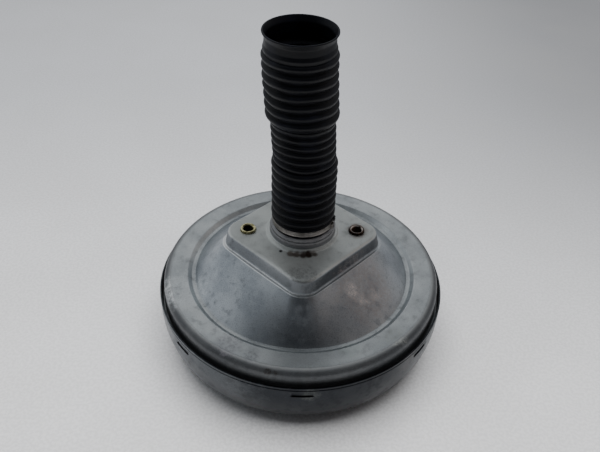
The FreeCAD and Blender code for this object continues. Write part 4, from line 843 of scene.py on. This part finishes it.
# %% Bellows in Geometry Nodes
def bellows_tree():
    """Node tree that wraps a grid into one run of folds."""
    tree = bpy.data.node_groups.new("bellows_run", "GeometryNodeTree")
    tree.interface.new_socket("Geometry", in_out="OUTPUT", socket_type="NodeSocketGeometry")
    for name in ("Folds", "Start", "Length", "Crest radius", "Fold depth", "Crest place", "Wall"):
        tree.interface.new_socket(name, in_out="INPUT", socket_type="NodeSocketFloat")
    given = add(tree, "NodeGroupInput", {}, {}).outputs

    rows = add(tree, MATH, TIMES, {0: given["Folds"], 1: float(FOLD_ROWS)})
    total = add(tree, MATH, {"operation": "MULTIPLY_ADD"}, {0: rows, 1: 2.0, 2: 3.0})
    grid = add(tree, "GeometryNodeMeshGrid", {}, {
        "Size X": 1.0, "Size Y": 1.0, "Vertices X": FOLD_ANGLES, "Vertices Y": total})
    position = add(tree, "GeometryNodeInputPosition", {}, {})
    on_grid = add(tree, SPLIT, {}, {0: position}).outputs
    across = add(tree, MATH, PLUS, {0: on_grid["X"], 1: 0.5})
    angle = add(tree, MATH, TIMES, {0: across, 1: 2 * math.pi})
    along = add(tree, MATH, PLUS, {0: on_grid["Y"], 1: 0.5})
    row = add(tree, MATH, TIMES, {0: along, 1: add(tree, MATH, MINUS, {0: total, 1: 1.0})})
    top_row = add(tree, MATH, PLUS, {0: rows, 1: 0.5})
    past_top = add(tree, MATH, {"operation": "GREATER_THAN"}, {0: row, 1: top_row})
    last_row = add(tree, MATH, MINUS, {0: total, 1: 1.5})
    closing = add(tree, MATH, {"operation": "GREATER_THAN"}, {0: row, 1: last_row})
    inside = add(tree, MATH, MINUS, {0: past_top, 1: closing})
    back = add(tree, MATH, MINUS, {0: add(tree, MATH, MINUS, {0: total, 1: 2.0}), 1: row})
    up = add(tree, MATH, TIMES, {0: row, 1: add(tree, MATH, MINUS, {0: 1.0, 1: past_top})})
    down = add(tree, MATH, TIMES, {0: back, 1: inside})
    share = add(tree, MATH, OVER, {0: add(tree, MATH, PLUS, {0: up, 1: down}), 1: rows})

    done = add(tree, MATH, TIMES, {0: share, 1: given["Folds"]})
    done = add(tree, MATH, PLUS, {0: done, 1: 0.0001})
    phase = add(tree, MATH, {"operation": "FRACT"}, {0: done})
    crest = add(tree, MATH, {"operation": "LOGARITHM"}, {0: given["Crest place"], 1: math.e})
    skew = add(tree, MATH, OVER, {0: math.log(0.5), 1: crest})
    skewed = add(tree, MATH, POWER, {0: phase, 1: skew})
    half_turn = add(tree, MATH, TIMES, {0: skewed, 1: math.pi})
    wave = add(tree, MATH, {"operation": "SINE"}, {0: half_turn})
    wave = add(tree, MATH, {"operation": "ABSOLUTE"}, {0: wave})
    bulge = add(tree, MATH, POWER, {0: wave, 1: 0.65})
    dip = add(tree, MATH, MINUS, {0: 1.0, 1: bulge})
    dip = add(tree, MATH, TIMES, {0: dip, 1: given["Fold depth"]})
    radius = add(tree, MATH, MINUS, {0: given["Crest radius"], 1: dip})
    wall = add(tree, MATH, TIMES, {0: inside, 1: given["Wall"]})
    radius = add(tree, MATH, MINUS, {0: radius, 1: wall})
    height = add(tree, MATH, TIMES, {0: share, 1: given["Length"]})
    height = add(tree, MATH, PLUS, {0: height, 1: given["Start"]})
    lean = add(tree, RANGE, SMOOTH, {0: height, 1: LEAN_LOW, 2: LEAN_HIGH, 3: 0.0, 4: LEAN})

    cosine = add(tree, MATH, {"operation": "COSINE"}, {0: angle})
    sine = add(tree, MATH, {"operation": "SINE"}, {0: angle})
    circle = add(tree, JOIN, {}, {"X": cosine, "Y": sine})
    turns_up = add(tree, MATH, TIMES, {0: height, 1: 1 / (22 * MM)})
    wobble_at = add(tree, JOIN, {}, {"X": cosine, "Y": sine, "Z": turns_up})
    wobble = add(tree, NOISE, {}, {"Vector": wobble_at, "Scale": 1.3, "Detail": 1.0})
    wobble = add(tree, MATH, MINUS, {0: wobble, 1: 0.5})
    wobble = add(tree, MATH, TIMES, {0: wobble, 1: 0.9 * MM})
    radius = add(tree, MATH, PLUS, {0: radius, 1: wobble})
    tilt_at = add(tree, VECTORS, PLUS, {0: wobble_at, 1: (7.0, 3.0, 5.0)})
    tilt = add(tree, NOISE, {}, {"Vector": tilt_at, "Scale": 1.1, "Detail": 1.0})
    tilt = add(tree, MATH, MINUS, {0: tilt, 1: 0.5})
    sway = add(tree, MATH, TIMES, {0: tilt, 1: 2.2 * MM})
    foot_end = add(tree, RANGE, SMOOTH, {0: share, 1: 0.0, 2: 0.12})
    head_end = add(tree, RANGE, SMOOTH, {0: share, 1: 0.88, 2: 1.0, 3: 1.0, 4: 0.0})
    ends = add(tree, MATH, TIMES, {0: foot_end, 1: head_end})
    sway = add(tree, MATH, TIMES, {0: sway, 1: ends})
    height = add(tree, MATH, PLUS, {0: height, 1: sway})

    ring = add(tree, VECTORS, {"operation": "SCALE"}, {0: circle, "Scale": radius})
    raised = add(tree, JOIN, {}, {"X": lean, "Z": height})
    place = add(tree, VECTORS, PLUS, {0: ring, 1: raised})
    moved = add(tree, "GeometryNodeSetPosition", {}, {"Geometry": grid, "Position": place})
    closed = add(tree, "GeometryNodeMergeByDistance", {}, {"Geometry": moved, "Distance": 0.002 * MM})
    smooth = add(tree, "GeometryNodeSetShadeSmooth", {}, {"Geometry": closed})
    real = add(tree, "GeometryNodeRealizeInstances", {}, {"Geometry": smooth})
    dressed = add(tree, "GeometryNodeSetMaterial", {}, {"Geometry": real, "Material": boot_rubber})
    add(tree, "NodeGroupOutput", {}, {"Geometry": dressed})
    return tree


folding = bellows_tree()
print("bellows tree:", len(folding.nodes), "nodes")

# %% [markdown]
# Each run of folds is the tree's result on an empty object, turned into a plain mesh. The middle
# run has finer and shallower folds than the other two. The runs are joined to one piece.

# %% Boot from three runs of folds
def run_of_folds(name, tree, sizes):
    """Plain mesh of one run, from the tree with its inputs set."""
    piece = bpy.data.objects.new(name, bpy.data.meshes.new(name))
    bpy.context.scene.collection.objects.link(piece)
    modifier = piece.modifiers.new("folds", "NODES")
    modifier.node_group = tree
    for socket in tree.interface.items_tree:
        if socket.in_out == "INPUT":
            modifier[socket.identifier] = float(sizes[socket.name])
    graph = bpy.context.evaluated_depsgraph_get()
    mesh = bpy.data.meshes.new_from_object(piece.evaluated_get(graph))
    piece.modifiers.clear()
    piece.data = mesh
    return piece


def joined(name, pieces):
    """One object from several."""
    bpy.ops.object.select_all(action="DESELECT")
    for piece in pieces:
        piece.select_set(True)
    bpy.context.view_layer.objects.active = pieces[0]
    bpy.ops.object.join()
    pieces[0].name = name
    return pieces[0]


runs = []
run_sizes = [(11.5, 52.0, 7, 3.2, 2.7), (62.7, 37.4, 6, 1.9, 2.1), (99.4, 51.2, 7, 4.7, 2.7)]
for number, (start, length, folds, beyond, depth) in enumerate(run_sizes):
    sizes = {"Folds": folds, "Start": COLLAR_Z + start * MM, "Length": length * MM, "Wall": BOOT_WALL,
             "Crest radius": SLEEVE_R + beyond * MM, "Fold depth": depth * MM, "Crest place": 0.62}
    runs.append(run_of_folds("fold_run_%d" % number, folding, sizes))
boot = joined("boot_folds", runs)
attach(boot, "housing")
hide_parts("boot_bellows")
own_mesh(boot)

# %% [markdown]
# The lower cuff is a plain tube, stepped in below the clamp and with a small bead above it. The
# mouth is a wider cuff with a bead at its foot, which narrows to a neck and flares to a thin lip.
# Both are one turned outline each.

# %% Cuff and mouth
def turned_piece(name, corners, material, angles=192, arc_steps=4):
    """Closed outline turned round the axis, leaning with the boot."""
    outline = rounded(corners + corners[:1], arc_steps, 3)[:-1]
    rings = []
    for step in range(angles):
        angle = 2 * math.pi * step / angles
        rings.append([(p.x * math.cos(angle) + lean_at(p.y), p.x * math.sin(angle), p.y) for p in outline])
    return skin(name, rings, material)


cuff_r = SLEEVE_R + 2.05 * MM
cuff = turned_piece("boot_cuff", [
    (SLEEVE_R + 0.05 * MM, COLLAR_Z + 3.2 * MM, 0),
    (cuff_r - 0.9 * MM, COLLAR_Z + 3.2 * MM, 0.3 * MM),
    (cuff_r, COLLAR_Z + 5.7 * MM, 0.5 * MM),
    (cuff_r, COLLAR_Z + 10.6 * MM, 0.1 * MM),
    (cuff_r + 0.9 * MM, COLLAR_Z + 11.2 * MM, 0.4 * MM),
    (cuff_r - 0.9 * MM, COLLAR_Z + 12.9 * MM, 0.1 * MM),
    (SLEEVE_R + 0.05 * MM, COLLAR_Z + 11.3 * MM, 0),
], boot_rubber)
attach(cuff, "housing")
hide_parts("boot_bellows")

MOUTH_R = 25.6 * MM
mouth = turned_piece("boot_lip", [
    (MOUTH_R - 1.6 * MM, mouth_low.z, 0),
    (MOUTH_R - 0.3 * MM, mouth_low.z, 0.2 * MM),
    (MOUTH_R + 0.2 * MM, mouth_low.z + 2.6 * MM, 1.6 * MM),
    (MOUTH_R - 0.7 * MM, mouth_low.z + 5.4 * MM, 1.2 * MM),
    (MOUTH_R - 0.95 * MM, mouth_high.z - 4.3 * MM, 3 * MM),
    (MOUTH_R + 0.8 * MM, mouth_high.z - 0.9 * MM, 0.7 * MM),
    (MOUTH_R + 0.65 * MM, mouth_high.z, 0.3 * MM),
    (MOUTH_R - 0.35 * MM, mouth_high.z - 0.1 * MM, 0.3 * MM),
    (MOUTH_R - 2.3 * MM, mouth_high.z - 4.3 * MM, 3 * MM),
], boot_rubber)
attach(mouth, "boot_top")
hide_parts("boot_mouth")
print("mouth at", round(mouth_high.z / MM, 1), "mm")

# %% [markdown]
# The threaded bushings are turned steel, pressed through the plateau. Their bore carries an M8
# thread, 1.25 mm from crest to crest, which shows as fine rings in the hole. The left one still has
# its yellow passivation, the right one has rusted, and both are darker inside the bore. One material
# tells them apart by their place along X, and the bore by its distance from the bushing's axis.

# %% Bushing steel
passivated, tree, shader, place = new_material("yellow_passivated_bushing", 1.0)
axes = add(tree, SPLIT, {}, {0: place}).outputs
side = add(tree, RANGE, SMOOTH, {0: axes["X"], 1: -0.01, 2: 0.01}).outputs[0]
amount = add(tree, MATH, {"operation": "ABSOLUTE"}, {0: axes["X"]})
across = add(tree, MATH, MINUS, {0: amount, 1: bush_x}).outputs[0]
flat = add(tree, JOIN, {}, {"X": across, "Y": axes["Y"]}).outputs[0]
reach = add(tree, VECTORS, {"operation": "LENGTH"}, {0: flat}).outputs["Value"]
dirt = add(tree, NOISE, {}, {"Vector": place, "Scale": 1 / (2.2 * MM), "Detail": 5.0}).outputs[0]
amount = add(tree, RANGE, SMOOTH, {0: dirt, 1: 0.4, 2: 0.62})
yellow = add(tree, MIX, COLOURS, {0: amount, 6: linear("#ded8ab"), 7: linear("#8a8358")}).outputs[2]
amount = add(tree, RANGE, SMOOTH, {0: dirt, 1: 0.42, 2: 0.58})
rusty = add(tree, MIX, COLOURS, {0: amount, 6: linear("#5a453b"), 7: linear("#352b27")}).outputs[2]
amount = add(tree, RANGE, SMOOTH, {0: reach, 1: 5.2 * MM, 2: 4.9 * MM})
rusty = add(tree, MIX, COLOURS, {0: amount, 6: rusty, 7: linear("#cfc7c0")}).outputs[2]
tone = add(tree, MIX, COLOURS, {0: side, 6: yellow, 7: rusty}).outputs[2]
# darker colour inside the bore
bore_tone = add(tree, MIX, COLOURS, {0: side, 6: linear("#3c3720"), 7: linear("#5d4a3e")}).outputs[2]
amount = add(tree, RANGE, SMOOTH, {0: reach, 1: 4.25 * MM, 2: 4.05 * MM})
tone = add(tree, MIX, COLOURS, {0: amount, 6: tone, 7: bore_tone}).outputs[2]
tree.links.new(tone, shader.inputs["Base Color"])
rough = add(tree, RANGE, SMOOTH, {0: dirt, 1: 0.3, 2: 0.7, 3: 0.25, 4: 0.45}).outputs[0]
tree.links.new(rough, shader.inputs["Roughness"])
bump = add(tree, "ShaderNodeBump", {}, {"Height": dirt, "Distance": 0.08 * MM})
tree.links.new(bump.outputs[0], shader.inputs["Normal"])

print("bushing steel:", passivated.name)

# %% [markdown]
# A bushing is turned, thread and all. Nine straight flanks up and nine down are enough for the
# rings, where a true helix wouldn't show in so small a hole.

# %% Threaded bushings
BUSH_TOP = bush_high.z
PITCH = 1.25
thread = [(0.2 * MM, BUSH_TOP - 13 * MM, 0)]
for turn in range(9):
    thread.append((3.95 * MM, BUSH_TOP - (12.4 - PITCH * turn) * MM, 0))
    thread.append((3.40 * MM, BUSH_TOP - (11.8 - PITCH * turn) * MM, 0))
bush_corners = thread + [
    (4.0 * MM, BUSH_TOP - 0.9 * MM, 0.1 * MM),
    (4.9 * MM, BUSH_TOP, 0.15 * MM),
    (6.1 * MM, BUSH_TOP, 0.35 * MM),
    (6.1 * MM, BUSH_TOP - 15 * MM, 0),
    (0.2 * MM, BUSH_TOP - 15 * MM, 0),
]
pair = []
for side in (-1, 1):
    bush = turned_piece("bushing", bush_corners, passivated, 96, 3)
    bush.data.transform(Matrix.Translation((side * bush_x, 0, 0)))
    pair.append(bush)
bushings = joined("threaded_bushings", pair)
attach(bushings, "housing")
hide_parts("rear_bushings")
print("bushings:", len(bushings.data.polygons), "faces")

# %% [markdown]
# The collar ends in a turned-in lip of the same zinc coated sheet, one step narrower. Above it the
# boot's cuff is held by a stainless band with rolled edges. The band's ear is a small pinched loop,
# and its notched tail stands up beside it. The band is turned; the ear and the tail are outlines
# given a thickness.

# %% Collar lip and band clamp
lip = turned_piece("collar_lip", [
    (SLEEVE_R + 0.1 * MM, COLLAR_Z + 0.05 * MM, 0),
    (COLLAR_R - 1.2 * MM, COLLAR_Z + 0.05 * MM, 0.3 * MM),
    (COLLAR_R - 1.1 * MM, COLLAR_Z + 1.9 * MM, 0.8 * MM),
    (cuff_r + 0.3 * MM, COLLAR_Z + 2.4 * MM, 0.4 * MM),
    (cuff_r - 0.4 * MM, COLLAR_Z + 3.0 * MM, 0.3 * MM),
    (SLEEVE_R + 0.1 * MM, COLLAR_Z + 3.0 * MM, 0),
], cover_zinc)
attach(lip, "housing")
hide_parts("rear_shell")


def plate(name, outline, low, high, material):
    """Flat outline of (x, y) points given a height."""
    body = bmesh.new()
    base = body.faces.new([body.verts.new((point[0], point[1], low)) for point in outline])
    raised = bmesh.ops.extrude_face_region(body, geom=[base])
    tops = [part for part in raised["geom"] if isinstance(part, bmesh.types.BMVert)]
    bmesh.ops.translate(body, verts=tops, vec=(0, 0, high - low))
    bmesh.ops.recalc_face_normals(body, faces=body.faces)
    mesh = bpy.data.meshes.new(name)
    body.to_mesh(mesh)
    body.free()
    mesh.materials.append(material)
    piece = bpy.data.objects.new(name, mesh)
    bpy.context.scene.collection.objects.link(piece)
    return piece


clamp_low, clamp_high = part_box("boot_clamp")
band_r = cuff_r + 0.05 * MM
band_ring = turned_piece("band", [
    (band_r, clamp_low.z, 0),
    (band_r + 0.75 * MM, clamp_low.z, 0.3 * MM),
    (band_r + 0.6 * MM, clamp_low.z + 0.9 * MM, 0.3 * MM),
    (band_r + 0.6 * MM, clamp_high.z - 0.9 * MM, 0.3 * MM),
    (band_r + 0.75 * MM, clamp_high.z, 0.3 * MM),
    (band_r, clamp_high.z, 0),
], band_steel)
EAR_ANGLE = math.radians(-28)
TAIL_ANGLE = math.radians(-15)
ear_corners = [
    (band_r + 0.3 * MM, -4.2 * MM, 0), (band_r + 0.5 * MM, -1.7 * MM, 0.8 * MM),
    (band_r + 2.5 * MM, -1.8 * MM, 0.8 * MM), (band_r + 2.6 * MM, 1.8 * MM, 0.8 * MM),
    (band_r + 0.5 * MM, 1.7 * MM, 0.8 * MM), (band_r + 0.3 * MM, 4.2 * MM, 0),
]
ear_outline = rounded(ear_corners, 6, 3) + rounded(offset(ear_corners, 0.5 * MM), 6, 3)[::-1]
ear = plate("ear", ear_outline, clamp_low.z, clamp_high.z, band_steel)
ear.data.transform(Matrix.Rotation(EAR_ANGLE, 4, "Z"))
tail_outline = [(0, 0), (1.0, 0.2), (1.5, 1.2), (0.8, 1.8), (1.6, 2.8),
                (0.8, 3.5), (1.5, 4.5), (0.7, 5.4), (0.2, 6.6), (-0.3, 5.0)]
tail = plate("tail", [(x * MM, y * MM) for x, y in tail_outline], -0.4 * MM, 0.4 * MM, spring_steel)
upright_tail = Matrix.Rotation(math.pi / 2, 4, "X")
stand = Matrix.Translation((band_r + 0.7 * MM, 0, clamp_high.z - 2 * MM)) @ upright_tail
tail.data.transform(Matrix.Rotation(TAIL_ANGLE, 4, "Z") @ stand)
clamp = joined("band_clamp", [band_ring, ear, tail])
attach(clamp, "housing")
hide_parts("boot_clamp")
print("clamp at", round(clamp_low.z / MM, 1), "mm")

# %% [markdown]
# The springs inside change their shape as the booster works. A spring is coiled wire, squeezed
# between its two seats. Its copy takes its shape from the CAD node, which already has the right
# coils.

# %% Springs
def copied(name, node):
    """New piece with the shape of a CAD node and its finish; its loose triangles are merged."""
    mesh = nodes[node].data.copy()
    mesh.transform(nodes[node].matrix_world)
    body = bmesh.new()
    body.from_mesh(mesh)
    bmesh.ops.remove_doubles(body, verts=body.verts, dist=0.002 * MM)
    body.to_mesh(mesh)
    body.free()
    piece = bpy.data.objects.new(name, mesh)
    bpy.context.scene.collection.objects.link(piece)
    return piece


for node, joint_name, body, along, from_low in (
        ("return_spring", "piston_slide", "housing", 2, True),
        ("rod_return_spring", "plunger_slide", "power_piston", 2, True),
        ("poppet_spring", "poppet_slide", "power_piston", 2, True),
        ("check_valve_spring", "check_disc_slide", "housing", 1, False)):
    spring = copied("flexing_" + node, node)
    low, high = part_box(node)
    middle = (low + high) / 2
    middle[along] = low[along] if from_low else high[along]
    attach(spring, body)
    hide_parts(node)
    way = (0, 0, 1) if along == 2 else (0, 1, 0)
    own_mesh(spring)

# %% [markdown]
# The diaphragm is moulded rubber. Its bead stays under the flange, its skin rides on the piston's
# plate, and its fold rolls over between them, so it is cut into a skin and a ring for the fold.

# %% Diaphragm
SPLIT_GAP = 4.5 * MM
plate_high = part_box("support_plate")[1]
skin_low, skin_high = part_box("diaphragm")
split_r = plate_high.x + SPLIT_GAP
middle = [(0, 0, (skin_low.z + skin_high.z) / 2)]
diaphragm_skin = copied("diaphragm_skin", "diaphragm")
drilled(diaphragm_skin, cylinders("core", split_r, 200 * MM, middle, (0, 0, 1)), "INTERSECT")
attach(diaphragm_skin, "power_piston")
diaphragm_fold = copied("diaphragm_fold", "diaphragm")
drilled(diaphragm_fold, cylinders("core", split_r, 200 * MM, middle, (0, 0, 1)))
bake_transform(diaphragm_fold)
for piece in (diaphragm_skin, diaphragm_fold):
    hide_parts("diaphragm")
print("diaphragm split at", round(split_r / MM, 1), "mm")
